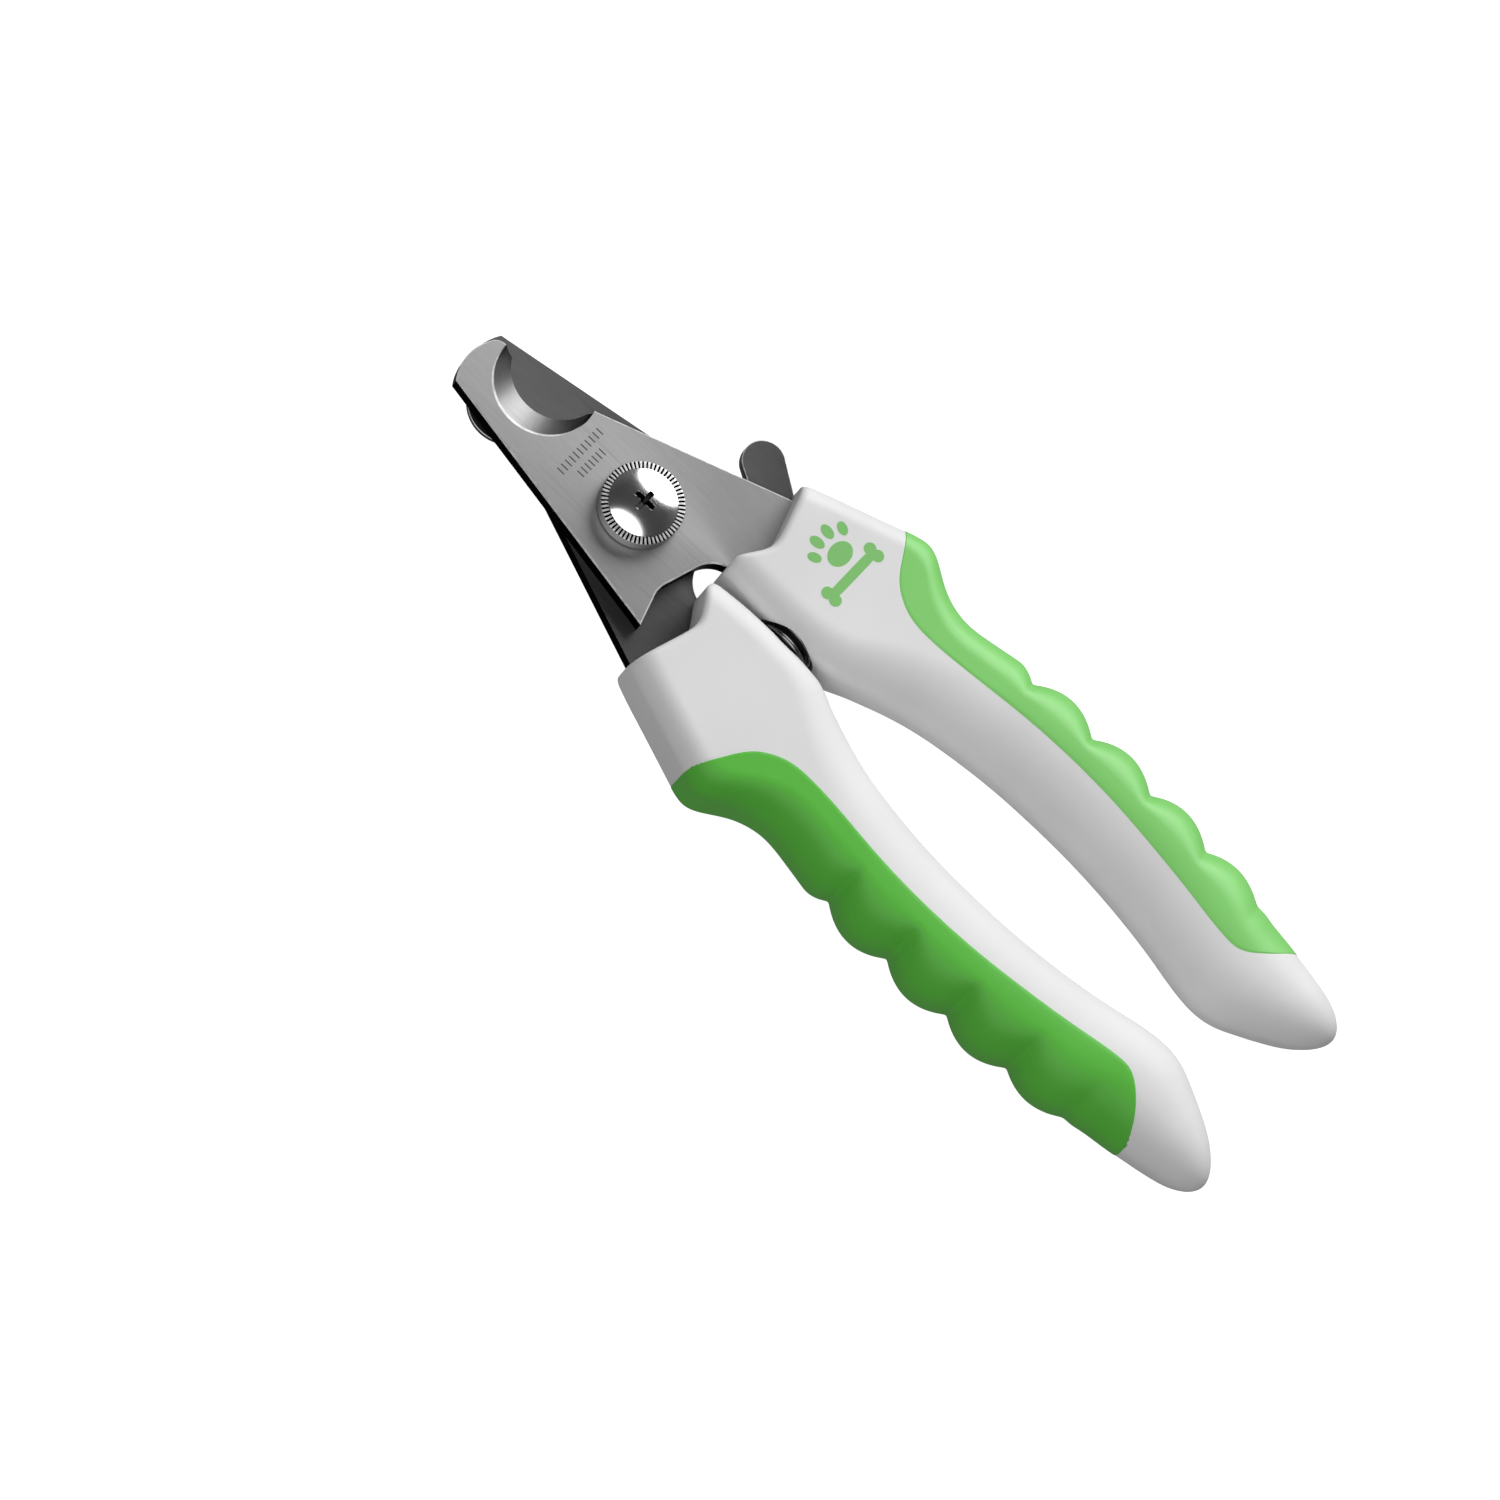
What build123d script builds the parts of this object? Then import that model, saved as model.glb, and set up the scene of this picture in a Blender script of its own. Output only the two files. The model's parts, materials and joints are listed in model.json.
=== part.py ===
"""Scissor nail clipper: two mirrored halves that turn on one screw.

Frame: the closed clipper lies on the XY plane.  The origin is where the pivot axis meets
that plane, +X runs towards the handle ends, +Y towards the front blade's handle, +Z up.
Everything is in millimetres.  Shapes are drawn for the front half, and the rear half is
their mirror image in the XZ plane.
"""
from build123d import *
from math import asin, cos, radians, sin
import os

os.makedirs("parts", exist_ok=True)

# ---- levels above the resting plane ----
BLADE_T = 3.0                       # thickness of each blade
SEAM_Z = 6.5                        # plane in which the blades slide on each other
FRONT_TOP = SEAM_Z + BLADE_T
REAR_BOTTOM = SEAM_Z - BLADE_T
HANDLE_T = 15.2                     # thickness of the handles
HANDLE_MID = HANDLE_T / 2

# ---- blade plan, front half ----
HEEL = (12.35, -13.4)               # square corner behind the pivot
TIP_BACK = (-33.0, -5.4)            # where the straight back ends at the nose
NOSE_LEFT = (-34.5, -0.9)           # foremost point of the nose
NOSE_TOP = (-33.5, 3.3)
NOSE_CORNER = (-32.7, 4.15)
CLAW = (-31.6, 4.45)                # point of the claw
MOUTH_TOP = (-14.7, 6.65)           # other end of the notch's mouth
SHOULDER = (15.0, 17.95)            # where the upper edge meets the handle
HOLLOW = [(15.5, 2.9), (13.25, 1.25), (12.4, -0.4), (11.0, -5.2), (10.6, -7.2), (11.0, -9.0)]   # rear edge
REAR_BACK = [(-5.0, -11.25), (-33.2, -6.1)]     # the rear blade's fuller back: its knee and its end
NOTCH_FACE = ((-23.1, 4.3), 8.4)    # centre and radius of the notch on the outer face
NOTCH_EDGE = ((-23.0, 8.4), 7.6)    # the same for the cutting edge, on the sliding face
EDGE_BREAK = 0.25                   # chamfer round the outer face

# ---- pivot ----
SLEEVE_R = 3.2
SCREW_R = 2.2
RUN_GAP = 0.05                      # radial clearance of every running fit
HEAD_R = 6.55
HEAD_WALL = 2.4                     # height of the head's straight side
HEAD_DOME = 1.3                     # crown above the side
HEAD_LIP = 1.1                      # width of the serrated ring
LIP_RISE = 0.15                     # slope of that ring
SERRATIONS = 60
RECESS_SPAN = 3.8                   # cross recess, tip to tip
RECESS_ARM = 1.0
RECESS_DEPTH = 1.6
GROOVE_LENGTH = 0.88                # serrations in the ring
GROOVE_DEPTH = 0.3
WASHER_T = 0.3
WASHER_R = 5.6
GUARD_T = 1.0
DISH_T = 0.4                        # height of the dished spring washer
DISH_METAL = 0.2
DISH_R = 5.4
NUT_FLATS = 9.0

# ---- safety guard ----
GUARD_X = -25.4                     # centre of its round end
GUARD_R = 6.2
GUARD_HUB_R = 6.0
GUARD_ROOT = 5.0                    # half width of the arm at the hub
GUARD_WAIST = 3.6                   # half width of the arm at the paddle

# ---- lock lever ----
LEVER_T = 2.0
LEVER_TAB = (8.5, 21.0)             # centre of the thumb tab
LEVER_PIVOT = (23.6, 10.6)
LEVER_TAB_R = 3.5
LEVER_HALF = 3.4
LEVER_THROW = 14.0                  # degrees from released to locked
CATCH_GAP = 0.35                    # play between the catch and the rear blade's heel
CATCH_DEPTH = [(0.0, 6.0), (-4.0, 10.5)]        # far corners of the shape that cuts the catch
RIVET_R = 1.6
RIVET_HEAD_R = 2.6
RIVET_HEAD_T = 0.8
SLOT_GAP = 0.3
SLOT_STEPS = 4                      # poses that sweep out the lever's slot
LEVER_WASHER_R = 3.1

# ---- return spring ----
SPRING_X = 30.0
SPRING_R = 4.4                      # mean coil radius
WIRE_R = 0.6
SPRING_TURNS = 6.5
POCKET_R = 5.6
POCKET_END = 6.5                    # pocket bottom, from the mirror plane
SEAT_T = 0.6
PEG_R = 3.3
PEG_END = 2.9                       # free end of the peg, from the mirror plane

# ---- handle: stations of (x, outer y, inner y, thickness, edge radius) ----
NECK_IN = 0.25                      # inner face of the neck, from the mirror plane
STATIONS = [
    (12.0, 19.0, NECK_IN, 15.2, 4.6),
    (31.0, 26.1, NECK_IN, 15.2, 5.0),
    (33.6, 27.2, NECK_IN, 15.2, 5.3),
    (35.6, 27.5, NECK_IN, 15.2, 5.5),
    (37.6, 26.8, NECK_IN, 15.2, 5.8),
    (40.6, 25.0, 1.4, 15.2, 6.3),
    (43.8, 23.4, 3.0, 15.2, 6.8),
    (47.2, 22.8, 4.2, 15.2, 7.2),
    (52.0, 23.4, 5.5, 15.2, 7.4),
    (60.0, 25.0, 7.0, 15.2, 7.4),
    (68.0, 26.1, 7.8, 15.2, 7.4),
    (80.0, 26.1, 8.0, 15.2, 7.4),
    (92.0, 25.7, 7.3, 15.2, 7.4),
    (102.0, 24.9, 5.7, 15.2, 7.4),
    (107.0, 23.5, 4.5, 15.0, 7.3),
    (110.6, 22.4, 3.9, 14.8, 7.2),
    (113.4, 22.0, 3.9, 14.6, 7.1),
    (117.0, 21.4, 5.0, 14.0, 6.8),
    (122.0, 20.6, 7.6, 12.8, 6.1),
    (126.0, 19.7, 10.1, 11.0, 4.6),
    (128.8, 18.7, 12.2, 8.8, 3.1),
    (130.4, 17.7, 13.8, 6.4, 1.9),
    (131.2, 16.8, 15.0, 4.0, 0.85),
]
COLLAR = [(15.3, 20.2), (18.9, 8.5), (15.5, 3.5), (16.0, NECK_IN)]   # front edge of the neck
IN_FRONT = [(16.0, -2.0), (5.0, -2.0), (5.0, 30.0), (12.2, 30.0)]    # plan of what lies before it
TIGHTEST = 0.49                     # largest share of a section that a corner radius may take

# ---- soft grip ----
GRIP_SKIN = 3.0                     # thickness at the side
GRIP_SKIN_TOP = 1.6                 # thickness above and below
GRIP_STATIONS = (1, 19)             # stations between which the skin is hollow
GRIP_CLEAR = 40.0                   # y beyond the widest part of the handle
GRIP_EDGE = [(31.6, 29.0), (32.6, 25.6), (34.5, 21.9), (36.5, 18.6), (39.0, 16.3), (44.0, 14.9),
             (50.0, 15.3), (68.0, 16.9), (80.0, 16.75), (92.0, 15.5), (104.0, 13.8),
             (108.5, 13.0), (112.0, 13.7), (115.0, 16.6), (118.0, 21.5), (119.5, 24.5)]
VALLEYS = [(61.3, 23.2), (73.4, 23.8), (85.4, 24.0), (97.1, 23.5), (108.9, 22.3)]
VALLEY_R = 2.6

# ---- tang and its pins ----
TANG = [(24.0, 20.3), (36.0, 20.3), (48.0, 17.0), (68.0, 19.5), (68.0, 13.5),
        (48.0, 10.8), (37.0, 7.8), (20.5, 7.8), (18.5, 3.2)]
TANG_PINS = [(44.0, 14.5), (63.0, 16.0)]
PIN_R = 1.25
PIN_LENGTH = 9.0


def save(part, node):
    """Write one piece to its own STEP file."""
    export_step(part, f"parts/{node}.step")


def ring(outer, inner, low, high):
    """A flat ring round the pivot axis, between two levels."""
    return Pos(0, 0, low) * extrude(Circle(outer) - Circle(inner), amount=high - low)


def rear(part):
    """The mirror image of a front-half piece."""
    return mirror(part, about=Plane.XZ)


def blade_plan(back):
    """Plan of a blade and its tang, with the mouth of the notch still closed."""
    edges = [
        *Polyline(HEEL, *back).edges(),
        ThreePointArc(back[-1], NOSE_LEFT, NOSE_TOP),
        ThreePointArc(NOSE_TOP, NOSE_CORNER, CLAW),
        Line(CLAW, MOUTH_TOP),
        Line(MOUTH_TOP, SHOULDER),
        *Polyline(SHOULDER, *TANG, HOLLOW[0]).edges(),
        ThreePointArc(*HOLLOW[0:3]),
        Line(HOLLOW[2], HOLLOW[3]),
        ThreePointArc(*HOLLOW[3:6]),
        Line(HOLLOW[5], HEEL),
    ]
    return make_face(edges)


def blade_with_hole(back, hole_r):
    """Blade with its hollow-ground notch, pivot hole and tang pin holes, drawn as the front one."""
    blade = extrude(blade_plan(back), amount=BLADE_T)
    outer = blade.faces().sort_by(Axis.Z)[-1]
    blade = chamfer(outer.edges().filter_by(lambda e: e.center().X < SHOULDER[0]), EDGE_BREAK)
    face_centre, face_r = NOTCH_FACE
    edge_centre, edge_r = NOTCH_EDGE
    blade -= loft([Pos(*edge_centre, 0) * Circle(edge_r), Pos(*face_centre, BLADE_T) * Circle(face_r)])
    blade -= extrude(Circle(hole_r), amount=BLADE_T)
    for x, y in TANG_PINS:
        blade -= Pos(x, y, 0) * extrude(Circle(PIN_R), amount=BLADE_T)
    return Pos(0, 0, SEAM_Z) * blade


def handle_loft(inset_side, inset_top, first, last):
    """Loft through rounded rectangles, set in from the handle's outline."""
    sections = []
    for x, outer, inner, thick, radius in STATIONS[first:last]:
        plane = Plane(origin=(x, (outer + inner) / 2, HANDLE_MID), x_dir=(0, 1, 0), z_dir=(1, 0, 0))
        wide = outer - inner - 2 * inset_side
        high = thick - 2 * inset_top
        corner = min(radius, TIGHTEST * wide, TIGHTEST * high)
        sections.append(plane * RectangleRounded(wide, high, corner))
    return loft(sections, ruled=True)


def handle_body():
    """Handle with its V-shaped front edge, grip and core together."""
    body = handle_loft(0, 0, 0, len(STATIONS))
    in_front = make_face(Polyline(*COLLAR, *IN_FRONT, close=True))
    return body - extrude(in_front, amount=HANDLE_T)


def grip_from(body):
    """Soft grip: a skin over the outer side of the handle, with finger scallops."""
    edge = Spline(*GRIP_EDGE)
    outside = Polyline(GRIP_EDGE[-1], (GRIP_EDGE[-1][0], GRIP_CLEAR), (GRIP_EDGE[0][0], GRIP_CLEAR), GRIP_EDGE[0])
    region = extrude(make_face([edge, *outside.edges()]), amount=HANDLE_T)
    return (body & region) - handle_loft(GRIP_SKIN, GRIP_SKIN_TOP, *GRIP_STATIONS)


def scallops():
    """Upright cylinders that cut the valleys between the fingers."""
    cuts = [Pos(x, y + VALLEY_R, 0) * extrude(Circle(VALLEY_R), amount=HANDLE_T) for x, y in VALLEYS]
    return Part() + cuts


def spring_pocket():
    """Round pocket in the neck's inner face."""
    at = Plane(origin=(SPRING_X, 0, HANDLE_MID), x_dir=(1, 0, 0), z_dir=(0, 1, 0))
    return at * extrude(Circle(POCKET_R), amount=POCKET_END)


def spring_seat():
    """Disc at the bottom of the pocket with the peg that centres the coil."""
    disc_at = Plane(origin=(SPRING_X, POCKET_END - SEAT_T, HANDLE_MID), x_dir=(1, 0, 0), z_dir=(0, 1, 0))
    peg_at = Plane(origin=(SPRING_X, PEG_END, HANDLE_MID), x_dir=(1, 0, 0), z_dir=(0, 1, 0))
    disc = disc_at * extrude(Circle(POCKET_R), amount=SEAT_T)
    peg = peg_at * extrude(Circle(PEG_R), amount=POCKET_END - SEAT_T - PEG_END)
    return disc + peg


def return_spring():
    """Open coil between the two seats, its axis along Y."""
    reach = 2 * (POCKET_END - SEAT_T - WIRE_R - RUN_GAP)
    path = Helix(pitch=reach / SPRING_TURNS, height=reach, radius=SPRING_R)
    wire = sweep(Plane(origin=path @ 0, z_dir=path % 0) * Circle(WIRE_R), path=path, is_frenet=True)
    return Pos(SPRING_X, -reach / 2, HANDLE_MID) * Rot(-90, 0, 0) * wire


def tang_pins(seam_mid):
    """Two dowels that hold the tang in the moulding."""
    low = seam_mid - PIN_LENGTH / 2
    pins = [Pos(x, y, low) * extrude(Circle(PIN_R), amount=PIN_LENGTH) for x, y in TANG_PINS]
    return Part() + pins


def turned(sketch, degrees):
    """A plan turned about the lock lever's pivot."""
    return Pos(*LEVER_PIVOT) * Rot(0, 0, degrees) * Pos(-LEVER_PIVOT[0], -LEVER_PIVOT[1]) * sketch


def lever_plan():
    """Lever at rest: a strip with round ends, cut where it hooks over the rear blade's heel."""
    run_x = LEVER_TAB[0] - LEVER_PIVOT[0]
    run_y = LEVER_TAB[1] - LEVER_PIVOT[1]
    run = (run_x ** 2 + run_y ** 2) ** 0.5
    side = (-run_y / run * LEVER_HALF, run_x / run * LEVER_HALF)
    corners = [(p[0] + s * side[0], p[1] + s * side[1])
               for p, s in ((LEVER_PIVOT, 1), (LEVER_TAB, 1), (LEVER_TAB, -1), (LEVER_PIVOT, -1))]
    strip = make_face(Polyline(*corners, close=True))
    strip += Pos(*LEVER_TAB) * Circle(LEVER_TAB_R)
    strip += Pos(*LEVER_PIVOT) * Circle(LEVER_HALF)
    edge = [(x, -y) for x, y in (HEEL, HOLLOW[5])]
    heel = offset(make_face(Polyline(*edge, *CATCH_DEPTH, close=True)), CATCH_GAP)
    return strip - turned(heel, -LEVER_THROW)


def lock_lever():
    """Thumb lever with its rivet hole."""
    plan = lever_plan() - Pos(*LEVER_PIVOT) * Circle(RIVET_R + RUN_GAP)
    return Pos(0, 0, SEAM_Z - WASHER_T - LEVER_T) * extrude(plan, amount=LEVER_T)


def lever_slot():
    """Space in the neck that the lever sweeps, with room for the rivet's head."""
    plan = lever_plan()
    swept = Sketch()
    for step in range(SLOT_STEPS + 1):
        swept += offset(turned(plan, LEVER_THROW * step / SLOT_STEPS), SLOT_GAP)
    low = SEAM_Z - WASHER_T - LEVER_T - RIVET_HEAD_T - SLOT_GAP
    return Pos(0, 0, low) * extrude(swept, amount=SEAM_Z - low)


def lock_rivet():
    """Rivet through the tang that carries the lever."""
    lever_bottom = SEAM_Z - WASHER_T - LEVER_T
    head_bottom = lever_bottom - RIVET_HEAD_T
    rivet = Pos(*LEVER_PIVOT, head_bottom) * extrude(Circle(RIVET_HEAD_R), amount=RIVET_HEAD_T)
    return rivet + Pos(*LEVER_PIVOT, lever_bottom) * extrude(Circle(RIVET_R), amount=FRONT_TOP - lever_bottom)


def pivot_screw():
    """Domed head with a serrated ring and a cross recess, on a plain shank."""
    base = FRONT_TOP + WASHER_T
    wall = base + HEAD_WALL
    rim = (HEAD_R - HEAD_LIP, wall + LIP_RISE)
    apex = wall + HEAD_DOME
    rise = apex - rim[1]
    ball_r = (rim[0] ** 2 + rise ** 2) / (2 * rise)
    half = asin(rim[0] / ball_r) / 2
    midway = (ball_r * sin(half), apex - ball_r * (1 - cos(half)))
    profile = make_face([
        *Polyline((0, 0), (SCREW_R, 0), (SCREW_R, base), (HEAD_R, base), (HEAD_R, wall), rim).edges(),
        ThreePointArc(rim, midway, (0, apex)),
        Line((0, apex), (0, 0)),
    ])
    screw = revolve(Plane.XZ * profile, Axis.Z)
    pitch = 360 / SERRATIONS
    groove = Pos(HEAD_R - HEAD_LIP / 2, 0, wall) * Box(GROOVE_LENGTH, HEAD_R * radians(pitch) / 2, 2 * GROOVE_DEPTH)
    screw -= [Rot(0, 0, pitch * turn) * groove for turn in range(SERRATIONS)]
    arm = Box(RECESS_SPAN, RECESS_ARM, RECESS_DEPTH) + Box(RECESS_ARM, RECESS_SPAN, RECESS_DEPTH)
    return screw - Pos(0, 0, apex - RECESS_DEPTH / 2) * arm


def guard():
    """Thin plate that stops the nail: hub, tapered arm and round paddle."""
    arm = make_face(Polyline((0, GUARD_ROOT), (GUARD_X, GUARD_WAIST), (GUARD_X, -GUARD_WAIST),
                             (0, -GUARD_ROOT), close=True))
    plan = arm + Pos(GUARD_X, 0) * Circle(GUARD_R) + Circle(GUARD_HUB_R)
    plan -= Circle(SLEEVE_R + RUN_GAP)
    top = REAR_BOTTOM - WASHER_T
    return Pos(0, 0, top - GUARD_T) * extrude(plan, amount=GUARD_T)


def dished_washer():
    """Conical spring washer that presses the guard against its washer."""
    high = REAR_BOTTOM - WASHER_T - GUARD_T
    low = high - DISH_T
    rise = DISH_T - DISH_METAL
    profile = make_face(Polyline((SLEEVE_R + RUN_GAP, low + rise), (DISH_R, low), (DISH_R, low + DISH_METAL),
                                 (SLEEVE_R + RUN_GAP, high), close=True))
    return revolve(Plane.XZ * profile, Axis.Z)


def pivot_nut():
    """Thin hexagon nut, flush with the resting plane."""
    top = REAR_BOTTOM - WASHER_T - GUARD_T - DISH_T
    return extrude(RegularPolygon(NUT_FLATS / 2, 6, major_radius=False) - Circle(SCREW_R), amount=top)


front_blade = blade_with_hole([TIP_BACK], SLEEVE_R + RUN_GAP)
rear_blade = Pos(0, 0, 2 * SEAM_Z) * mirror(rear(blade_with_hole(REAR_BACK, SLEEVE_R)), about=Plane.XY)
body = handle_body()
pocket = spring_pocket()
grip_full = grip_from(body)
grip = grip_full - scallops()
front_pins = tang_pins(HANDLE_MID)
rear_pins = rear(front_pins)
rivet = lock_rivet()
core = body - grip_full - pocket
front_core = core - front_blade - front_pins - lever_slot() - rivet
rear_core = rear(core) - rear_blade - rear_pins
front_blade -= Pos(*LEVER_PIVOT, SEAM_Z) * extrude(Circle(RIVET_R), amount=BLADE_T)

save(front_blade, "front_blade")
save(rear_blade, "rear_blade")
save(front_core, "front_handle_core")
save(rear_core, "rear_handle_core")
save(grip, "front_grip")
save(rear(grip), "rear_grip")
save(front_pins, "front_tang_pins")
save(rear_pins, "rear_tang_pins")
save(spring_seat(), "front_spring_seat")
save(rear(spring_seat()), "rear_spring_seat")
save(return_spring(), "return_spring")
save(lock_lever(), "lock_lever")
save(rivet, "lock_rivet")
lever_washer = Pos(*LEVER_PIVOT, SEAM_Z - WASHER_T) * extrude(
    Circle(LEVER_WASHER_R) - Circle(RIVET_R), amount=WASHER_T)
save(lever_washer, "lock_washer")
save(pivot_screw(), "pivot_screw")
save(ring(SLEEVE_R, SCREW_R, REAR_BOTTOM - WASHER_T - GUARD_T, FRONT_TOP), "pivot_sleeve")
save(ring(WASHER_R, SCREW_R, FRONT_TOP, FRONT_TOP + WASHER_T), "head_washer")
save(ring(WASHER_R, SLEEVE_R, REAR_BOTTOM - WASHER_T, REAR_BOTTOM), "guard_washer")
save(guard(), "safety_guard")
save(dished_washer(), "spring_washer")
save(pivot_nut(), "pivot_nut")
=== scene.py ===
"""Scissor nail clipper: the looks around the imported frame.

Shapes are drawn in millimetres for the front half, whose handle lies on the +Y side.  The rear
half is its mirror image in the XZ plane.  Everything is scaled to metres when it becomes a mesh.
"""
import json
import logging
from dataclasses import dataclass, field
from enum import Enum
from math import cos, pi, radians, sin

import bmesh
import bpy
import numpy as np
from mathutils import Matrix, Vector

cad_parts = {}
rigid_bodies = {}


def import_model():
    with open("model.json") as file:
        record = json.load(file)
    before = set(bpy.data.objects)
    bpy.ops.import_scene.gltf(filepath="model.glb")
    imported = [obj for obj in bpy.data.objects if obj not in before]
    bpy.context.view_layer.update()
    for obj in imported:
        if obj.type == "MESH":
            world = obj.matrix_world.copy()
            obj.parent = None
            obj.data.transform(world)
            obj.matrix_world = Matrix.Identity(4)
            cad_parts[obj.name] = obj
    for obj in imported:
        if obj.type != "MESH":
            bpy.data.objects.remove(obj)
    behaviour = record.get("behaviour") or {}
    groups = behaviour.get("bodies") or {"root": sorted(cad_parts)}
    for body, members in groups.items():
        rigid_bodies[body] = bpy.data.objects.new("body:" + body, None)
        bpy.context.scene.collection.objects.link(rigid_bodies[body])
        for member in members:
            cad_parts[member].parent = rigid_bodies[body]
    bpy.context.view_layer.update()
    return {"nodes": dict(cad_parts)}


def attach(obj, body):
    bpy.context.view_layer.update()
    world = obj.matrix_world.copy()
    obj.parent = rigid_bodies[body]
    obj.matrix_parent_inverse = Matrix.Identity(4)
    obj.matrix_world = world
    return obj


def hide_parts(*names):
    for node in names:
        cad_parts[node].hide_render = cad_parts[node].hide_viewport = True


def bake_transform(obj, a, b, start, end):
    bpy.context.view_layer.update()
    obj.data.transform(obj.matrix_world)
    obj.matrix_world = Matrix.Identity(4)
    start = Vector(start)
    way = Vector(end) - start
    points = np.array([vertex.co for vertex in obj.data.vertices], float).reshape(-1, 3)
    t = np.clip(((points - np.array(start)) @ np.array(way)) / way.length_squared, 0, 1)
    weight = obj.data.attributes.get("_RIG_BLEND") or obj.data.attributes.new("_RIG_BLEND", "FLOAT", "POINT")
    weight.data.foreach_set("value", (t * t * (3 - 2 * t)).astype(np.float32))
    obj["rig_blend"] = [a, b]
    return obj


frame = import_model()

LOG = logging.getLogger("nail_clipper")
MM = 0.001

HANDLE_MID = 7.6          # height of the handles' middle plane
SEAM_Z = 6.5              # plane in which the blades slide on each other
FRONT_TOP = 9.5           # outer face of the front blade
FLAT_MARGIN = 0.05        # strip that keeps a plate's flat face flat to its rim


class Side(Enum):
    """The two mirrored halves: their body, their sign in Y and where their grip starts."""

    FRONT = ("front", "front_half", 1.0, 1.1)
    REAR = ("rear", "rear_half", -1.0, -0.3)

    def __init__(self, label: str, body: str, sign: float, grip_shift: float) -> None:
        """Keep the half's words and its sign.

        Args:
            label: word used in the names of pieces.
            body: body of the frame that the half rides on.
            sign: +1 for the drawn half and -1 for its mirror image.
            grip_shift: how far the grip's first stretch is moved towards the blades.
        """
        self.label = label
        self.body = body
        self.sign = sign
        self.grip_shift = grip_shift


# --------------------------------------------------------------------------- surfaces


def spline(knots: np.ndarray, values: np.ndarray, at: np.ndarray) -> np.ndarray:
    """Natural cubic spline: piecewise cubics with equal slope and bend where they meet.

    Args:
        knots: rising places of the given values, shape (n,).
        values: one row of values for each knot, shape (n, m).
        at: places where the spline is wanted, shape (k,).

    Returns:
        The spline's values, shape (k, m).
    """
    count = len(knots)
    step = np.diff(knots)
    slope = np.diff(values, axis=0) / step[:, None]
    inner = np.arange(1, count - 1)
    system = np.eye(count)
    system[inner, inner - 1] = step[:-1]
    system[inner, inner] = 2 * (step[:-1] + step[1:])
    system[inner, inner + 1] = step[1:]
    load = np.zeros_like(values, dtype=float)
    load[inner] = 6 * (slope[1:] - slope[:-1])
    bend = np.linalg.solve(system, load)
    k = np.clip(np.searchsorted(knots, at) - 1, 0, count - 2)
    h = step[k][:, None]
    a = (knots[k + 1] - at)[:, None] / h
    b = 1 - a
    cubic = ((a ** 3 - a) * bend[k] + (b ** 3 - b) * bend[k + 1]) * h ** 2 / 6
    return a * values[k] + b * values[k + 1] + cubic


def ease(low: float, high: float, x: np.ndarray) -> np.ndarray:
    """Smooth step 3t^2 - 2t^3 from 0 at low to 1 at high.

    Args:
        low: where the step starts.
        high: where it ends.
        x: places to work out.

    Returns:
        Values from 0 to 1, shaped like x.
    """
    t = np.clip((x - low) / (high - low), 0, 1)
    return t * t * (3 - 2 * t)


def soft_max(values: list[np.ndarray], blur: float) -> np.ndarray:
    """Rounded maximum: blur times the logarithm of the summed exponentials.

    Args:
        values: arrays of one shape.
        blur: size of the rounding where two of them cross.

    Returns:
        The rounded maximum, in that shape.
    """
    stack = np.stack(values) / blur
    top = stack.max(axis=0)
    return blur * (top + np.log(np.exp(stack - top).sum(axis=0)))


def round_drop(distance: np.ndarray, radius: np.ndarray | float) -> np.ndarray:
    """Quarter circle 1 - sqrt(1 - (1 - d/r)^2): 1 at the edge, 0 from one radius inwards.

    Args:
        distance: distance from the edge.
        radius: width of the rounding.

    Returns:
        The share of the corner's height that is lost.
    """
    t = 1 - np.clip(distance / radius, 0, 1)
    return 1 - np.sqrt(np.clip(1 - t * t, 0, 1))


def grid_faces(rows: int, columns: int, wrap: bool, first: int = 0) -> np.ndarray:
    """Quads of a grid of points stored row by row.

    Args:
        rows: number of rows.
        columns: number of points in a row.
        wrap: whether a row closes on itself.
        first: index of the grid's first point.

    Returns:
        Corner indices, shape (quads, 4).
    """
    across = columns if wrap else columns - 1
    i, j = np.meshgrid(np.arange(rows - 1), np.arange(across), indexing="ij")
    k = (j + 1) % columns
    quads = np.stack([i * columns + j, i * columns + k, (i + 1) * columns + k, (i + 1) * columns + j], axis=-1)
    return quads.reshape(-1, 4) + first


def make_piece(name: str, points: np.ndarray, faces: list, sharp: float = 35.0) -> bpy.types.Object:
    """Mesh object from points in millimetres, welded, closed and facing outwards.

    Args:
        name: name of the piece.
        points: its points, shape (n, 3), in millimetres.
        faces: corner indices of each face.
        sharp: edges that turn more than this many degrees stay crisp.

    Returns:
        The new object, at the origin.
    """
    mesh = bpy.data.meshes.new(name)
    mesh.from_pydata((points.reshape(-1, 3) * MM).tolist(), [], [list(map(int, face)) for face in faces])
    work = bmesh.new()
    work.from_mesh(mesh)
    bmesh.ops.remove_doubles(work, verts=work.verts, dist=2e-7)
    bmesh.ops.dissolve_degenerate(work, edges=work.edges, dist=1e-8)
    bmesh.ops.recalc_face_normals(work, faces=work.faces)
    work.to_mesh(mesh)
    work.free()
    mesh.shade_smooth()
    mesh.set_sharp_from_angle(angle=radians(sharp))
    piece = bpy.data.objects.new(name, mesh)
    bpy.context.scene.collection.objects.link(piece)
    return piece


def finish_piece(piece: bpy.types.Object, body: str, material: bpy.types.Material,
                 replaced: tuple[str, ...] = ()) -> None:
    """Dress a new piece, put it on its body and report it.

    Args:
        piece: the mesh object.
        body: body of the frame that it rides on.
        material: finish to give it.
        replaced: CAD nodes that it stands for.
    """
    piece.data.materials.clear()
    piece.data.materials.append(material)
    if replaced:
        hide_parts(*replaced)
    if piece.parent is None and "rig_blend" not in piece:
        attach(piece, body)
    LOG.info("%s: %d faces on %s", piece.name, len(piece.data.polygons), body)


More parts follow.
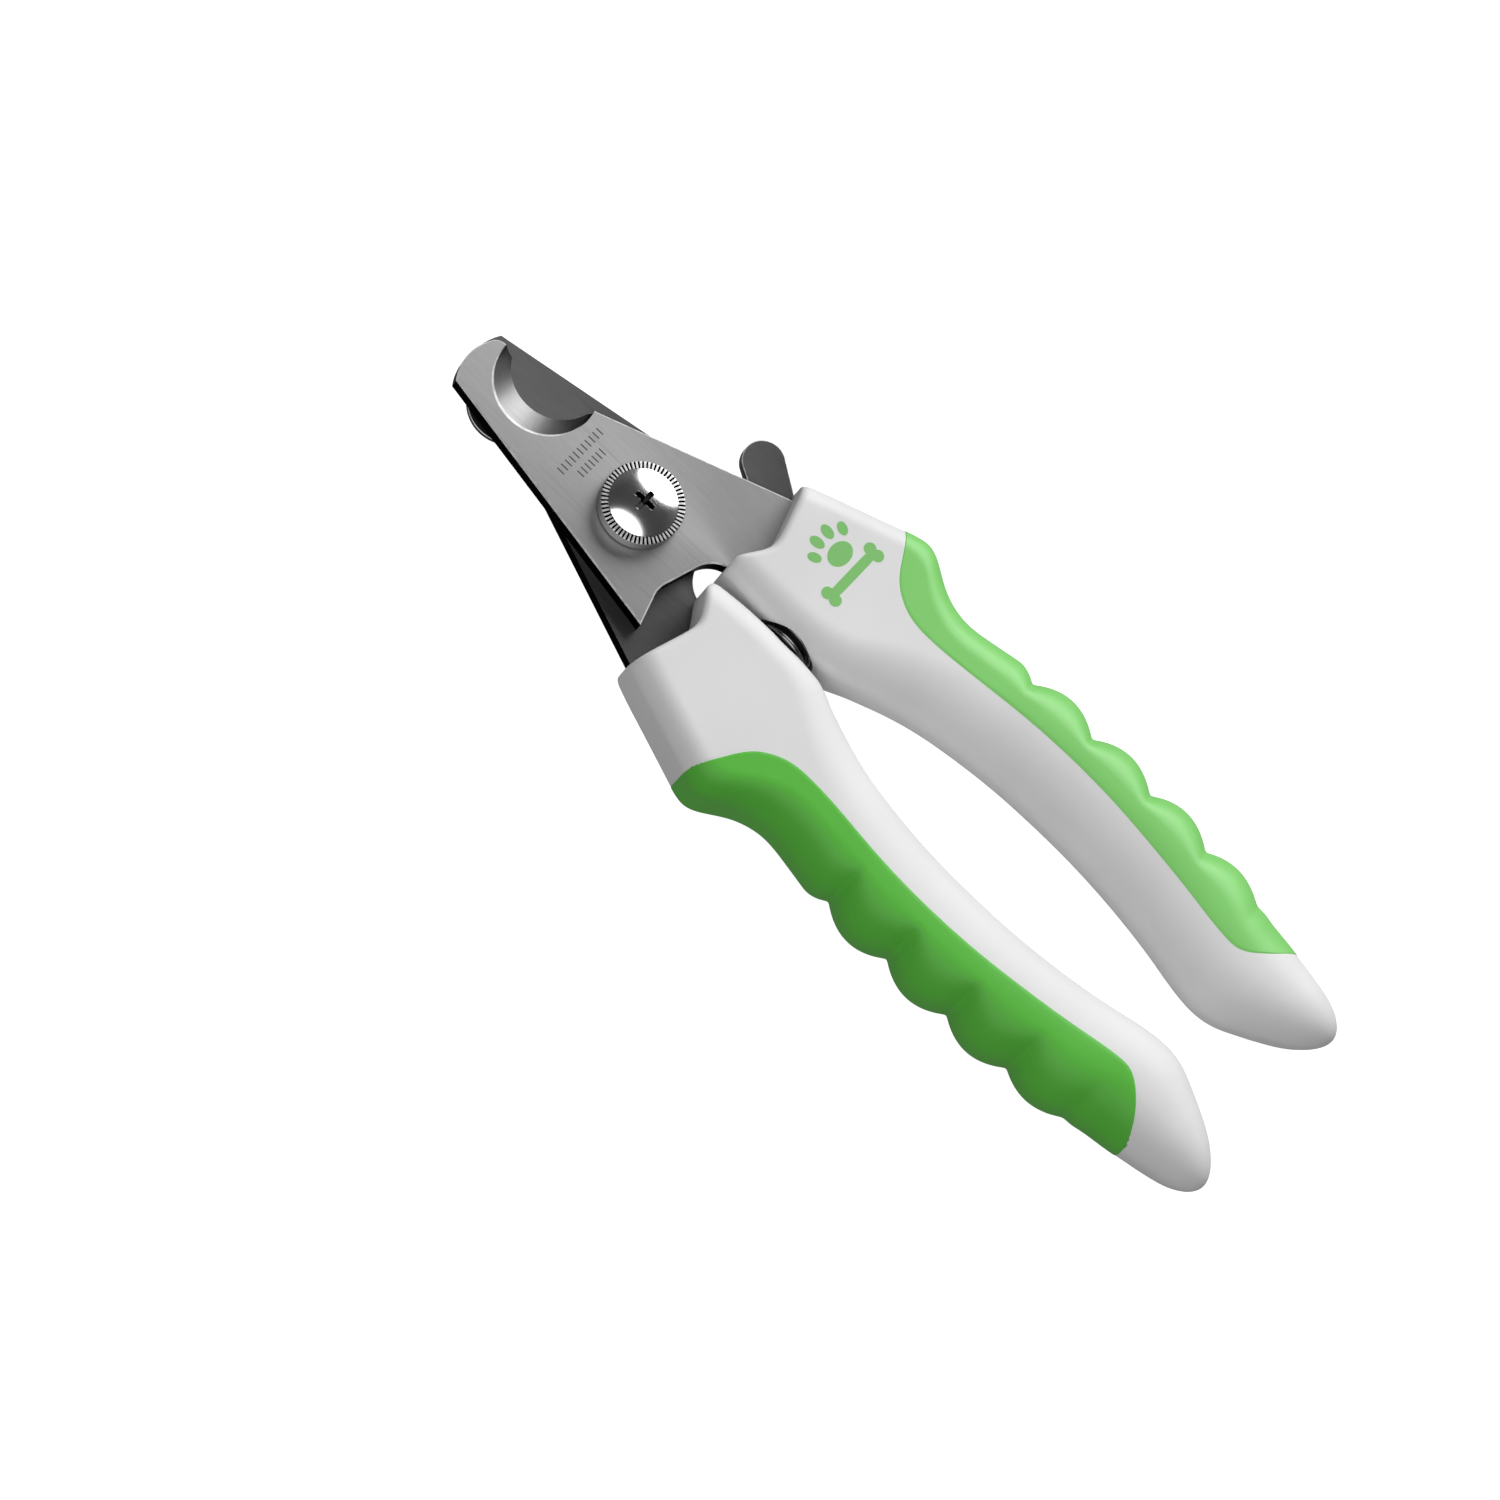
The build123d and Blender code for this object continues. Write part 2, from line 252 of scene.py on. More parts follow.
def prism(outline: np.ndarray, low: float, high: float) -> tuple[np.ndarray, list]:
    """Upright prism over a closed plan outline.

    Args:
        outline: plan points in order, shape (n, 2).
        low: height of the bottom.
        high: height of the top.

    Returns:
        Points and faces of the closed prism.
    """
    count = len(outline)
    bottom = np.column_stack([outline, np.full(count, low)])
    top = np.column_stack([outline, np.full(count, high)])
    ring = np.arange(count)
    after = (ring + 1) % count
    sides = np.stack([ring, after, after + count, ring + count], axis=-1).tolist()
    return np.vstack([bottom, top]), sides + [ring[::-1].tolist(), (ring + count).tolist()]


def plate(outline: np.ndarray, low: float, high: float, bevel: float, steps: int = 4) -> tuple[np.ndarray, list]:
    """Flat plate whose rims are rounded by quarter circles.

    The outline is carried inwards along its own normals by bevel * (1 - cos a) while the height
    changes by bevel * (1 - sin a), for a from 0 to 90 degrees at the bottom rim and back at the top.

    Args:
        outline: plan points, anticlockwise, shape (n, 2).
        low: height of the bottom face.
        high: height of the top face.
        bevel: radius of the rims.
        steps: number of strips in each rim.

    Returns:
        Points and faces of the closed plate.
    """
    count = len(outline)
    ahead = np.roll(outline, -1, axis=0) - outline
    behind = outline - np.roll(outline, 1, axis=0)
    ahead /= np.linalg.norm(ahead, axis=1, keepdims=True)
    behind /= np.linalg.norm(behind, axis=1, keepdims=True)
    along = ahead + behind
    along /= np.linalg.norm(along, axis=1, keepdims=True)
    inwards = np.column_stack([-along[:, 1], along[:, 0]])
    stretch = 1 / np.clip((along * ahead).sum(axis=1), 0.5, 1)
    angle = np.linspace(0, pi / 2, steps + 1)
    shrink = np.concatenate([[bevel + FLAT_MARGIN], bevel * (1 - np.sin(angle)), bevel * (1 - np.cos(angle)),
                             [bevel + FLAT_MARGIN]])
    height = np.concatenate([[low], low + bevel * (1 - np.cos(angle)), high - bevel * (1 - np.sin(angle)), [high]])
    loops = outline[None] + inwards[None] * (stretch[None, :, None] * shrink[:, None, None])
    points = np.concatenate([loops, np.broadcast_to(height[:, None, None], (*loops.shape[:2], 1))], axis=-1)
    rows = len(shrink)
    faces = grid_faces(rows, count, True).tolist()
    faces.append(list(range(count - 1, -1, -1)))
    faces.append(list(range((rows - 1) * count, rows * count)))
    return points.reshape(-1, 3), faces


def turned_surface(profile: np.ndarray, around: int) -> tuple[np.ndarray, list]:
    """Surface of revolution about the pivot axis: (r cos a, r sin a, z).

    Args:
        profile: (r, z) points of a closed or axis-to-axis profile, shape (n, 2).
        around: number of steps round the axis.

    Returns:
        Points and faces.
    """
    angle = np.linspace(0, 2 * pi, around, endpoint=False)
    r, z = profile[:, 0:1], profile[:, 1:2]
    points = np.stack([r * np.cos(angle), r * np.sin(angle), np.broadcast_to(z, (len(profile), around))], axis=-1)
    return points, grid_faces(len(profile), around, True).tolist()


def arc(centre: tuple[float, float], radius: float, start: float, end: float, count: int) -> np.ndarray:
    """Points on a circular arc.

    Args:
        centre: centre of the arc.
        radius: its radius.
        start: first angle in degrees.
        end: last angle in degrees.
        count: number of points.

    Returns:
        Plan points, shape (count, 2).
    """
    angle = np.radians(np.linspace(start, end, count))
    return np.column_stack([centre[0] + radius * np.cos(angle), centre[1] + radius * np.sin(angle)])


def carve(piece: bpy.types.Object, points: np.ndarray, faces: list) -> None:
    """Cut a closed shape out of a piece and keep the result in its mesh.

    Args:
        piece: object to cut.
        points: points of the cutting shape, in millimetres.
        faces: its faces.
    """
    cutter = make_piece(piece.name + "_cutter", points, faces)
    step = piece.modifiers.new("cut", "BOOLEAN")
    step.operation = "DIFFERENCE"
    step.solver = "EXACT"
    step.object = cutter
    bpy.context.view_layer.update()
    evaluated = piece.evaluated_get(bpy.context.evaluated_depsgraph_get())
    mesh = bpy.data.meshes.new_from_object(evaluated)
    piece.modifiers.clear()
    old = piece.data
    piece.data = mesh
    bpy.data.meshes.remove(old)
    bpy.data.objects.remove(cutter)
    mesh.shade_smooth()
    mesh.set_sharp_from_angle(angle=radians(35))


# --------------------------------------------------------------------------- finishes


@dataclass(frozen=True)
class SteelFinish:
    """Stamped steel: brushed flat faces, side walls painted near-black as painted shade, and rims painted brighter
    between them as a painted highlight.

    The three are told apart by the upright share of the surface's own normal.

    Attributes:
        name: name of the material.
        face: reflectance of the brushed faces.
        wall: reflectance of the side walls, kept near-black as painted shade.
        rim: reflectance of the rims, raised as a painted highlight.
        roughness: roughness between the grain lines.
        grain: depth of the grain, from 0 to 1.
        length: how far a grain line runs, as a stretch factor.
        rim_off_seam: how far from the seam the rims begin, in millimetres.
    """

    name: str
    face: float
    wall: float
    rim: float
    roughness: float
    grain: float = 0.35
    length: float = 45.0
    rim_off_seam: float = 2.75

    def build(self) -> bpy.types.Material:
        """Write the node tree.

        Returns:
            The material.
        """
        material = bpy.data.materials.new(self.name)
        material.use_nodes = True
        nodes, links = material.node_tree.nodes, material.node_tree.links
        nodes.clear()
        place = nodes.new("ShaderNodeTexCoord")
        place.label = "place on the clipper"
        stretch = nodes.new("ShaderNodeMapping")
        stretch.label = "draw the grain out along the blade"
        fine = nodes.new("ShaderNodeTexNoise")
        fine.label = "grain lines"
        scratch = nodes.new("ShaderNodeTexNoise")
        scratch.label = "long single scratches"
        blotch = nodes.new("ShaderNodeTexNoise")
        blotch.label = "uneven polish"
        # painted highlight: noise that makes the bright rims uneven
        rim_highlight_noise = nodes.new("ShaderNodeTexNoise")
        rim_highlight_noise.label = "nicks in the rims"
        lean = nodes.new("ShaderNodeSeparateXYZ")
        lean.label = "how the surface leans"
        upright = nodes.new("ShaderNodeMath")
        upright.label = "upright share of the normal"
        level = nodes.new("ShaderNodeSeparateXYZ")
        level.label = "height on the clipper"
        off_seam = nodes.new("ShaderNodeMath")
        off_seam.label = "distance from the seam"
        away = nodes.new("ShaderNodeMath")
        away.label = "without its sign"
        outermost = nodes.new("ShaderNodeMapRange")
        outermost.label = "1 close to the outer faces"
        painted_rim_highlight = nodes.new("ShaderNodeMath")
        painted_rim_highlight.label = "leaning and close to the outer faces"
        # painted shade: this mask picks the side walls by the lean of their normal, and they get a near-black grey
        painted_wall_shade = nodes.new("ShaderNodeMapRange")
        painted_wall_shade.label = "1 on stamped walls"
        is_rim = nodes.new("ShaderNodeMapRange")
        is_rim.label = "1 on rims and walls"
        shade = nodes.new("ShaderNodeMapRange")
        shade.label = "grain in the grey"
        line = nodes.new("ShaderNodeMapRange")
        line.label = "scratches in the grey"
        face = nodes.new("ShaderNodeMath")
        face.label = "grey of the faces"
        # painted highlight: bright grey of the rims close to the outer faces
        rim_highlight_grey = nodes.new("ShaderNodeMapRange")
        rim_highlight_grey.label = "nicked rim"
        rim = nodes.new("ShaderNodeMix")
        rim.label = "faces, then rims"
        wall = nodes.new("ShaderNodeMix")
        wall.label = "rims, then walls"
        polish = nodes.new("ShaderNodeMapRange")
        polish.label = "roughness of the grain"
        patches = nodes.new("ShaderNodeMapRange")
        patches.label = "roughness of the blotches"
        total = nodes.new("ShaderNodeMath")
        total.label = "both roughnesses"
        ground = nodes.new("ShaderNodeMapRange")
        ground.label = "ground bevels are smoother"
        keen = nodes.new("ShaderNodeMath")
        keen.label = "roughness of faces and bevels"
        # painted highlight: less metal on the rims, so their bright grey shows from every side
        rim_highlight_metal = nodes.new("ShaderNodeMapRange")
        rim_highlight_metal.label = "scuffed rims scatter light"
        relief = nodes.new("ShaderNodeBump")
        relief.label = "grain you can feel"
        metal = nodes.new("ShaderNodeBsdfPrincipled")
        metal.label = "steel"
        output = nodes.new("ShaderNodeOutputMaterial")
        grain_frame = nodes.new("NodeFrame")
        grain_frame.label = "brushed grain"
        lean_frame = nodes.new("NodeFrame")
        lean_frame.label = "faces, rims and walls"
        polish_frame = nodes.new("NodeFrame")
        polish_frame.label = "polish"
        for node in (stretch, fine, scratch, shade, line, face, relief):
            node.parent = grain_frame
        for node in (lean, upright, level, off_seam, away, outermost, painted_rim_highlight, painted_wall_shade, is_rim, rim_highlight_noise, rim_highlight_grey, rim, wall):
            node.parent = lean_frame
        for node in (blotch, polish, patches, total, ground, keen, rim_highlight_metal):
            node.parent = polish_frame
        columns = ((place,), (stretch, lean, level), (fine, scratch, upright, blotch, off_seam),
                   (shade, line, painted_wall_shade, is_rim, rim_highlight_noise, away), (face, rim_highlight_grey, polish, patches, outermost),
                   (painted_rim_highlight, rim, total, ground), (wall, relief, keen, rim_highlight_metal), (metal,), (output,))
        for column, group in enumerate(columns):
            for row, node in enumerate(group):
                node.location = (column * 220 - 900, 300 - row * 250)
        stretch.inputs["Scale"].default_value = (1.0, self.length, self.length)
        fine.inputs["Scale"].default_value = 160.0
        fine.inputs["Detail"].default_value = 8.0
        fine.inputs["Roughness"].default_value = 0.75
        scratch.inputs["Scale"].default_value = 45.0
        scratch.inputs["Detail"].default_value = 2.0
        blotch.inputs["Scale"].default_value = 90.0
        blotch.inputs["Detail"].default_value = 3.0
        rim_highlight_noise.inputs["Scale"].default_value = 900.0
        upright.operation = "ABSOLUTE"
        off_seam.operation = "SUBTRACT"
        off_seam.inputs[1].default_value = SEAM_Z * MM
        away.operation = "ABSOLUTE"
        outermost.inputs["From Min"].default_value = (self.rim_off_seam - 0.12) * MM
        outermost.inputs["From Max"].default_value = self.rim_off_seam * MM
        painted_rim_highlight.operation = "MULTIPLY"
        ground.inputs["To Min"].default_value = 1.0
        ground.inputs["To Max"].default_value = 0.55
        keen.operation = "MULTIPLY"
        rim_highlight_metal.inputs["To Min"].default_value = 1.0
        rim_highlight_metal.inputs["To Max"].default_value = 0.25
        metal.inputs["Specular Tint"].default_value = (0.4, 0.4, 0.4, 1.0)
        painted_wall_shade.inputs["From Min"].default_value = 0.50
        painted_wall_shade.inputs["From Max"].default_value = 0.30
        is_rim.inputs["From Min"].default_value = 0.975
        is_rim.inputs["From Max"].default_value = 0.93
        shade.inputs["From Min"].default_value = 0.3
        shade.inputs["From Max"].default_value = 0.7
        shade.inputs["To Min"].default_value = self.face * (1 - 0.30 * self.grain)
        shade.inputs["To Max"].default_value = self.face * (1 + 0.30 * self.grain)
        line.inputs["From Min"].default_value = 0.62
        line.inputs["From Max"].default_value = 0.75
        line.inputs["To Max"].default_value = -0.25 * self.face * self.grain
        rim_highlight_grey.inputs["From Min"].default_value = 0.35
        rim_highlight_grey.inputs["From Max"].default_value = 0.65
        rim_highlight_grey.inputs["To Min"].default_value = self.rim * 0.7
        rim_highlight_grey.inputs["To Max"].default_value = self.rim
        # painted shade: the near-black grey of the side walls
        wall.inputs["B"].default_value = self.wall
        polish.inputs["From Min"].default_value = 0.3
        polish.inputs["From Max"].default_value = 0.7
        polish.inputs["To Min"].default_value = self.roughness - 0.10 * self.grain
        polish.inputs["To Max"].default_value = self.roughness + 0.14 * self.grain
        patches.inputs["To Min"].default_value = -0.02
        patches.inputs["To Max"].default_value = 0.03
        relief.inputs["Strength"].default_value = 0.3 * self.grain
        relief.inputs["Distance"].default_value = 0.00002
        metal.inputs["Anisotropic"].default_value = 0.3
        links.new(place.outputs["Object"], stretch.inputs["Vector"])
        links.new(stretch.outputs["Vector"], fine.inputs["Vector"])
        links.new(stretch.outputs["Vector"], scratch.inputs["Vector"])
        links.new(place.outputs["Object"], blotch.inputs["Vector"])
        links.new(place.outputs["Object"], rim_highlight_noise.inputs["Vector"])
        links.new(place.outputs["Normal"], lean.inputs["Vector"])
        links.new(lean.outputs["Z"], upright.inputs[0])
        links.new(upright.outputs["Value"], painted_wall_shade.inputs["Value"])
        links.new(upright.outputs["Value"], is_rim.inputs["Value"])
        links.new(fine.outputs["Fac"], shade.inputs["Value"])
        links.new(scratch.outputs["Fac"], line.inputs["Value"])
        links.new(shade.outputs["Result"], face.inputs[0])
        links.new(line.outputs["Result"], face.inputs[1])
        links.new(rim_highlight_noise.outputs["Fac"], rim_highlight_grey.inputs["Value"])
        links.new(place.outputs["Object"], level.inputs["Vector"])
        links.new(level.outputs["Z"], off_seam.inputs[0])
        links.new(off_seam.outputs["Value"], away.inputs[0])
        links.new(away.outputs["Value"], outermost.inputs["Value"])
        links.new(is_rim.outputs["Result"], painted_rim_highlight.inputs[0])
        links.new(outermost.outputs["Result"], painted_rim_highlight.inputs[1])
        links.new(painted_rim_highlight.outputs["Value"], rim.inputs["Factor"])
        links.new(face.outputs["Value"], rim.inputs["A"])
        links.new(rim_highlight_grey.outputs["Result"], rim.inputs["B"])
        links.new(painted_wall_shade.outputs["Result"], wall.inputs["Factor"])
        links.new(rim.outputs["Result"], wall.inputs["A"])
        links.new(fine.outputs["Fac"], polish.inputs["Value"])
        links.new(blotch.outputs["Fac"], patches.inputs["Value"])
        links.new(polish.outputs["Result"], total.inputs[0])
        links.new(patches.outputs["Result"], total.inputs[1])
        links.new(fine.outputs["Fac"], relief.inputs["Height"])
        links.new(wall.outputs["Result"], metal.inputs["Base Color"])
        links.new(is_rim.outputs["Result"], ground.inputs["Value"])
        links.new(total.outputs["Value"], keen.inputs[0])
        links.new(ground.outputs["Result"], keen.inputs[1])
        links.new(painted_rim_highlight.outputs["Value"], rim_highlight_metal.inputs["Value"])
        links.new(keen.outputs["Value"], metal.inputs["Roughness"])
        links.new(rim_highlight_metal.outputs["Result"], metal.inputs["Metallic"])
        links.new(relief.outputs["Normal"], metal.inputs["Normal"])
        links.new(metal.outputs["BSDF"], output.inputs["Surface"])
        return material


@dataclass(frozen=True)
class ChromeFinish:
    """Polished nickel, brushed on the teeth and painted near-black in recesses as painted shade, by the piece's own
    attributes.

    Attributes:
        name: name of the material.
        grey: reflectance of the polished metal.
        roughness: roughness of the polished metal.
        brushing: roughness that brushing adds.
    """

    name: str
    grey: float = 0.85
    roughness: float = 0.14
    brushing: float = 0.22

    def build(self) -> bpy.types.Material:
        """Write the node tree.

        Returns:
            The material.
        """
        material = bpy.data.materials.new(self.name)
        material.use_nodes = True
        nodes, links = material.node_tree.nodes, material.node_tree.links
        nodes.clear()
        place = nodes.new("ShaderNodeTexCoord")
        place.label = "place on the clipper"
        painted_groove_shade = nodes.new("ShaderNodeAttribute")
        painted_groove_shade.label = "1 in grooves and in the cross"
        painted_groove_shade.attribute_name = "painted_groove_shade"
        brushed = nodes.new("ShaderNodeAttribute")
        brushed.label = "1 on the teeth"
        brushed.attribute_name = "brushed"
        haze = nodes.new("ShaderNodeTexNoise")
        haze.label = "handling haze"
        smear = nodes.new("ShaderNodeMapRange")
        smear.label = "roughness of the haze"
        # painted shade: grooves and the cross recess go from polished grey to near-black
        shade = nodes.new("ShaderNodeMapRange")
        shade.label = "polished down to oil-black"
        grind = nodes.new("ShaderNodeMath")
        grind.label = "haze and brushing"
        grind.operation = "MULTIPLY_ADD"
        grind.inputs[1].default_value = self.brushing
        metal = nodes.new("ShaderNodeBsdfPrincipled")
        metal.label = "nickel plate"
        output = nodes.new("ShaderNodeOutputMaterial")
        groove_shade_frame = nodes.new("NodeFrame")
        groove_shade_frame.label = "dark grooves"
        polish_frame = nodes.new("NodeFrame")
        polish_frame.label = "polish and brushing"
        for node in (painted_groove_shade, shade):
            node.parent = groove_shade_frame
        for node in (haze, brushed, smear, grind):
            node.parent = polish_frame
        columns = ((place,), (haze, brushed, painted_groove_shade), (smear,), (grind, shade), (metal,), (output,))
        for column, group in enumerate(columns):
            for row, node in enumerate(group):
                node.location = (column * 220 - 700, 200 - row * 260)
        haze.inputs["Scale"].default_value = 500.0
        haze.inputs["Detail"].default_value = 3.0
        smear.inputs["To Min"].default_value = self.roughness - 0.02
        smear.inputs["To Max"].default_value = self.roughness + 0.04
        shade.inputs["To Min"].default_value = self.grey
        shade.inputs["To Max"].default_value = 0.01
        metal.inputs["Metallic"].default_value = 1.0
        metal.inputs["Specular Tint"].default_value = (0.5, 0.5, 0.5, 1.0)
        links.new(place.outputs["Object"], haze.inputs["Vector"])
        links.new(haze.outputs["Fac"], smear.inputs["Value"])
        links.new(painted_groove_shade.outputs["Fac"], shade.inputs["Value"])
        links.new(shade.outputs["Result"], metal.inputs["Base Color"])
        links.new(brushed.outputs["Fac"], grind.inputs[0])
        links.new(smear.outputs["Result"], grind.inputs[2])
        links.new(grind.outputs["Value"], metal.inputs["Roughness"])
        links.new(metal.outputs["BSDF"], output.inputs["Surface"])
        return material


@dataclass(frozen=True)
class MouldedFinish:
    """Moulded plastic, rubber or ink: even colour with a faint mottle and a fine skin.

    Attributes:
        name: name of the material.
        colour: base colour, linear.
        roughness: mean roughness.
        mottle: change of brightness across the piece.
        skin_scale: size of the surface texture, in cells per metre.
        skin_depth: depth of the surface texture, in metres.
        gloss: strength of the mirror part, 0.5 for plain plastic.
        metallic: share of metal, for oiled black steel.
    """

    name: str
    colour: tuple[float, float, float]
    roughness: float
    mottle: float = 0.03
    skin_scale: float = 2500.0
    skin_depth: float = 0.00001
    gloss: float = 0.5
    metallic: float = 0.0

    def build(self) -> bpy.types.Material:
        """Write the node tree.

        Returns:
            The material.
        """
        material = bpy.data.materials.new(self.name)
        material.use_nodes = True
        nodes, links = material.node_tree.nodes, material.node_tree.links
        nodes.clear()
        place = nodes.new("ShaderNodeTexCoord")
        place.label = "place on the clipper"
        cloud = nodes.new("ShaderNodeTexNoise")
        cloud.label = "slow mottle of the moulding"
        skin = nodes.new("ShaderNodeTexNoise")
        skin.label = "fine skin of the mould"
        tone = nodes.new("ShaderNodeMapRange")
        tone.label = "lighter and darker places"
        paint = nodes.new("ShaderNodeMix")
        paint.label = "colour with its mottle"
        rough = nodes.new("ShaderNodeMapRange")
        rough.label = "roughness of the skin"
        relief = nodes.new("ShaderNodeBump")
        relief.label = "skin you can feel"
        body = nodes.new("ShaderNodeBsdfPrincipled")
        body.label = "moulded body"
        output = nodes.new("ShaderNodeOutputMaterial")
        colour_frame = nodes.new("NodeFrame")
        colour_frame.label = "colour"
        skin_frame = nodes.new("NodeFrame")
        skin_frame.label = "skin"
        for node in (cloud, tone, paint):
            node.parent = colour_frame
        for node in (skin, rough, relief):
            node.parent = skin_frame
        for column, group in enumerate(((place,), (cloud, skin), (tone, rough), (paint, relief), (body,), (output,))):
            for row, node in enumerate(group):
                node.location = (column * 220 - 800, 200 - row * 260)
        cloud.inputs["Scale"].default_value = 60.0
        cloud.inputs["Detail"].default_value = 3.0
        skin.inputs["Scale"].default_value = self.skin_scale
        skin.inputs["Detail"].default_value = 4.0
        tone.inputs["From Min"].default_value = 0.3
        tone.inputs["From Max"].default_value = 0.7
        paint.data_type = "RGBA"
        paint.inputs["A"].default_value = (*(c * (1 - self.mottle) for c in self.colour), 1.0)
        paint.inputs["B"].default_value = (*(min(1.0, c * (1 + self.mottle)) for c in self.colour), 1.0)
        rough.inputs["To Min"].default_value = self.roughness - 0.05
        rough.inputs["To Max"].default_value = self.roughness + 0.05
        relief.inputs["Strength"].default_value = 0.4
        relief.inputs["Distance"].default_value = self.skin_depth
        body.inputs["Metallic"].default_value = self.metallic
        body.inputs["Specular IOR Level"].default_value = self.gloss
        body.inputs["IOR"].default_value = 1.48
        links.new(place.outputs["Object"], cloud.inputs["Vector"])
        links.new(place.outputs["Object"], skin.inputs["Vector"])
        links.new(cloud.outputs["Fac"], tone.inputs["Value"])
        links.new(tone.outputs["Result"], paint.inputs["Factor"])
        links.new(skin.outputs["Fac"], rough.inputs["Value"])
        links.new(skin.outputs["Fac"], relief.inputs["Height"])
        links.new(paint.outputs["Result"], body.inputs["Base Color"])
        links.new(rough.outputs["Result"], body.inputs["Roughness"])
        links.new(relief.outputs["Normal"], body.inputs["Normal"])
        links.new(body.outputs["BSDF"], output.inputs["Surface"])
        return material


# --------------------------------------------------------------------------- handles


@dataclass
class Handle:
    """One handle: a white core with a soft grip round its outer side.

    A station line runs across the handle from its inner to its outer edge.  The share t of that
    line is 0 at the inner edge and 1 at the outer one.  The surface's height above the middle
    plane is c - g c (q(t / fi) + q((1 - t) / fo)), with c half the thickness, g the share of c
    that the roundings take, q the quarter circle of round_drop and fi and fo the shares of the
    line that the inner and the outer rounding take.
    """

    side: Side
    stations: tuple = (
        # inner x, y    outer x, y      c     fi    fo    g
        (12.0, 1.60, 12.0, 19.10, 7.52, 0.22, 0.20, 0.56),
        (22.0, 0.60, 22.0, 22.85, 7.52, 0.20, 0.18, 0.56),
        (31.0, 0.60, 31.0, 26.15, 7.52, 0.18, 0.16, 0.56),
        (34.0, 0.70, 34.0, 27.15, 7.52, 0.19, 0.16, 0.57),
        (35.6, 0.80, 35.6, 27.35, 7.52, 0.21, 0.17, 0.59),
        (37.6, 1.00, 37.6, 26.75, 7.52, 0.25, 0.18, 0.62),
        (39.2, 1.45, 39.2, 25.85, 7.52, 0.30, 0.20, 0.66),
        (41.5, 2.35, 41.5, 24.50, 7.52, 0.36, 0.23, 0.73),
        (44.0, 3.20, 44.0, 23.50, 7.52, 0.42, 0.26, 0.80),
        (47.5, 4.35, 47.5, 22.95, 7.52, 0.48, 0.30, 0.86),
        (52.0, 5.60, 52.0, 23.50, 7.52, 0.53, 0.33, 0.90),
        (60.0, 7.00, 60.0, 25.05, 7.52, 0.57, 0.36, 0.92),
        (68.0, 7.80, 68.0, 26.00, 7.52, 0.58, 0.38, 0.93),
        (76.0, 8.05, 76.0, 26.10, 7.52, 0.58, 0.38, 0.93),
        (84.0, 7.90, 84.0, 26.00, 7.52, 0.58, 0.38, 0.93),
        (92.0, 7.25, 92.0, 25.65, 7.52, 0.58, 0.38, 0.93),
        (98.0, 6.45, 98.0, 25.25, 7.52, 0.57, 0.39, 0.93),
        (103.0, 5.55, 103.0, 24.80, 7.52, 0.56, 0.40, 0.93),
        (107.0, 4.70, 107.0, 23.90, 7.5, 0.54, 0.42, 0.93),
        (110.5, 4.15, 110.5, 22.60, 7.4, 0.52, 0.44, 0.93),
        (113.5, 4.05, 113.5, 22.00, 7.25, 0.51, 0.45, 0.93),
        (117.0, 4.80, 117.0, 21.55, 7.0, 0.50, 0.46, 0.93),
        (120.5, 6.45, 120.5, 20.95, 6.6, 0.50, 0.47, 0.94),
        (124.0, 7.96, 124.0, 20.52, 6.35, 0.50, 0.48, 0.95),
        (127.0, 8.85, 127.0, 20.50, 6.25, 0.49, 0.49, 0.97),
        (131.2, 10.40, 131.2, 20.45, 6.2, 0.49, 0.49, 0.99),
    )
    tip_from: float = 121.0
    tip_to: float = 131.2
    tip_y: float = 15.7
    collar_from: float = 15.0
    collar_to: float = 22.0
    # the collar's three lines: a point's x and y, and the change of x with y
    collar_lines: tuple = ((15.3, 20.2, -3.6 / 11.7), (15.5, 3.5, 3.4 / 5.0), (15.5, 3.5, -0.5 / 3.25))
    collar_blurs: tuple = (0.8, 0.25)
    front_round: float = 1.2
    grip_edge: tuple = ((31.0, 28.2), (32.3, 25.9), (34.5, 21.9), (36.5, 18.6), (39.0, 16.3), (42.0, 14.95),
                        (46.0, 14.55), (52.0, 14.9), (60.0, 15.75), (68.0, 16.3), (76.0, 16.35), (84.0, 15.9),
                        (92.0, 15.0), (100.0, 13.85), (105.0, 13.0), (108.5, 12.6), (111.0, 12.9), (113.5, 14.7),
                        (116.3, 17.9), (118.6, 21.3), (120.0, 23.4))
    edge_fade: tuple = (44.0, 62.0)
    least_share: float = 0.02
    full_share: float = 0.9995
    edge_steps: int = 4000
    lobes: tuple = ((67.5, 25.95, 7.4), (79.5, 25.95, 7.6), (91.4, 25.6, 7.6), (102.9, 24.7, 8.2))
    fingers_span: tuple = (57.0, 111.4)
    finger_blur: float = 0.22
    end_round: float = 4.5
    scallop_fade: tuple = (0.15, 0.95)
    grip_rise: float = 0.07
    grip_lip: tuple = (0.16, 0.22)
    grip_sink: tuple = (0.45, 0.9, 1.5)
    grip_rows: int = 330
    grip_columns: int = 34
    row_gather: float = 0.012
    core_sink: float = 3.2
    core_fade: tuple = (0.1, 0.7)
    core_taper: float = 1.5
    # the spring's pocket: its circle in the upright plane, and how far it reaches across
    pocket: tuple = ((30.0, HANDLE_MID), 5.6, 0, 352.5, 48)
    pocket_span: tuple = (-0.5, 6.5)
    # rows of the core's grid along the arm: from, to and step
    row_steps: tuple = ((22.4, 31.0, 0.6), (31.0, 46.0, 0.3), (46.0, 112.0, 0.45), (112.0, 124.0, 0.4))
    tip_rows: float = 7.2
    columns: int = 64

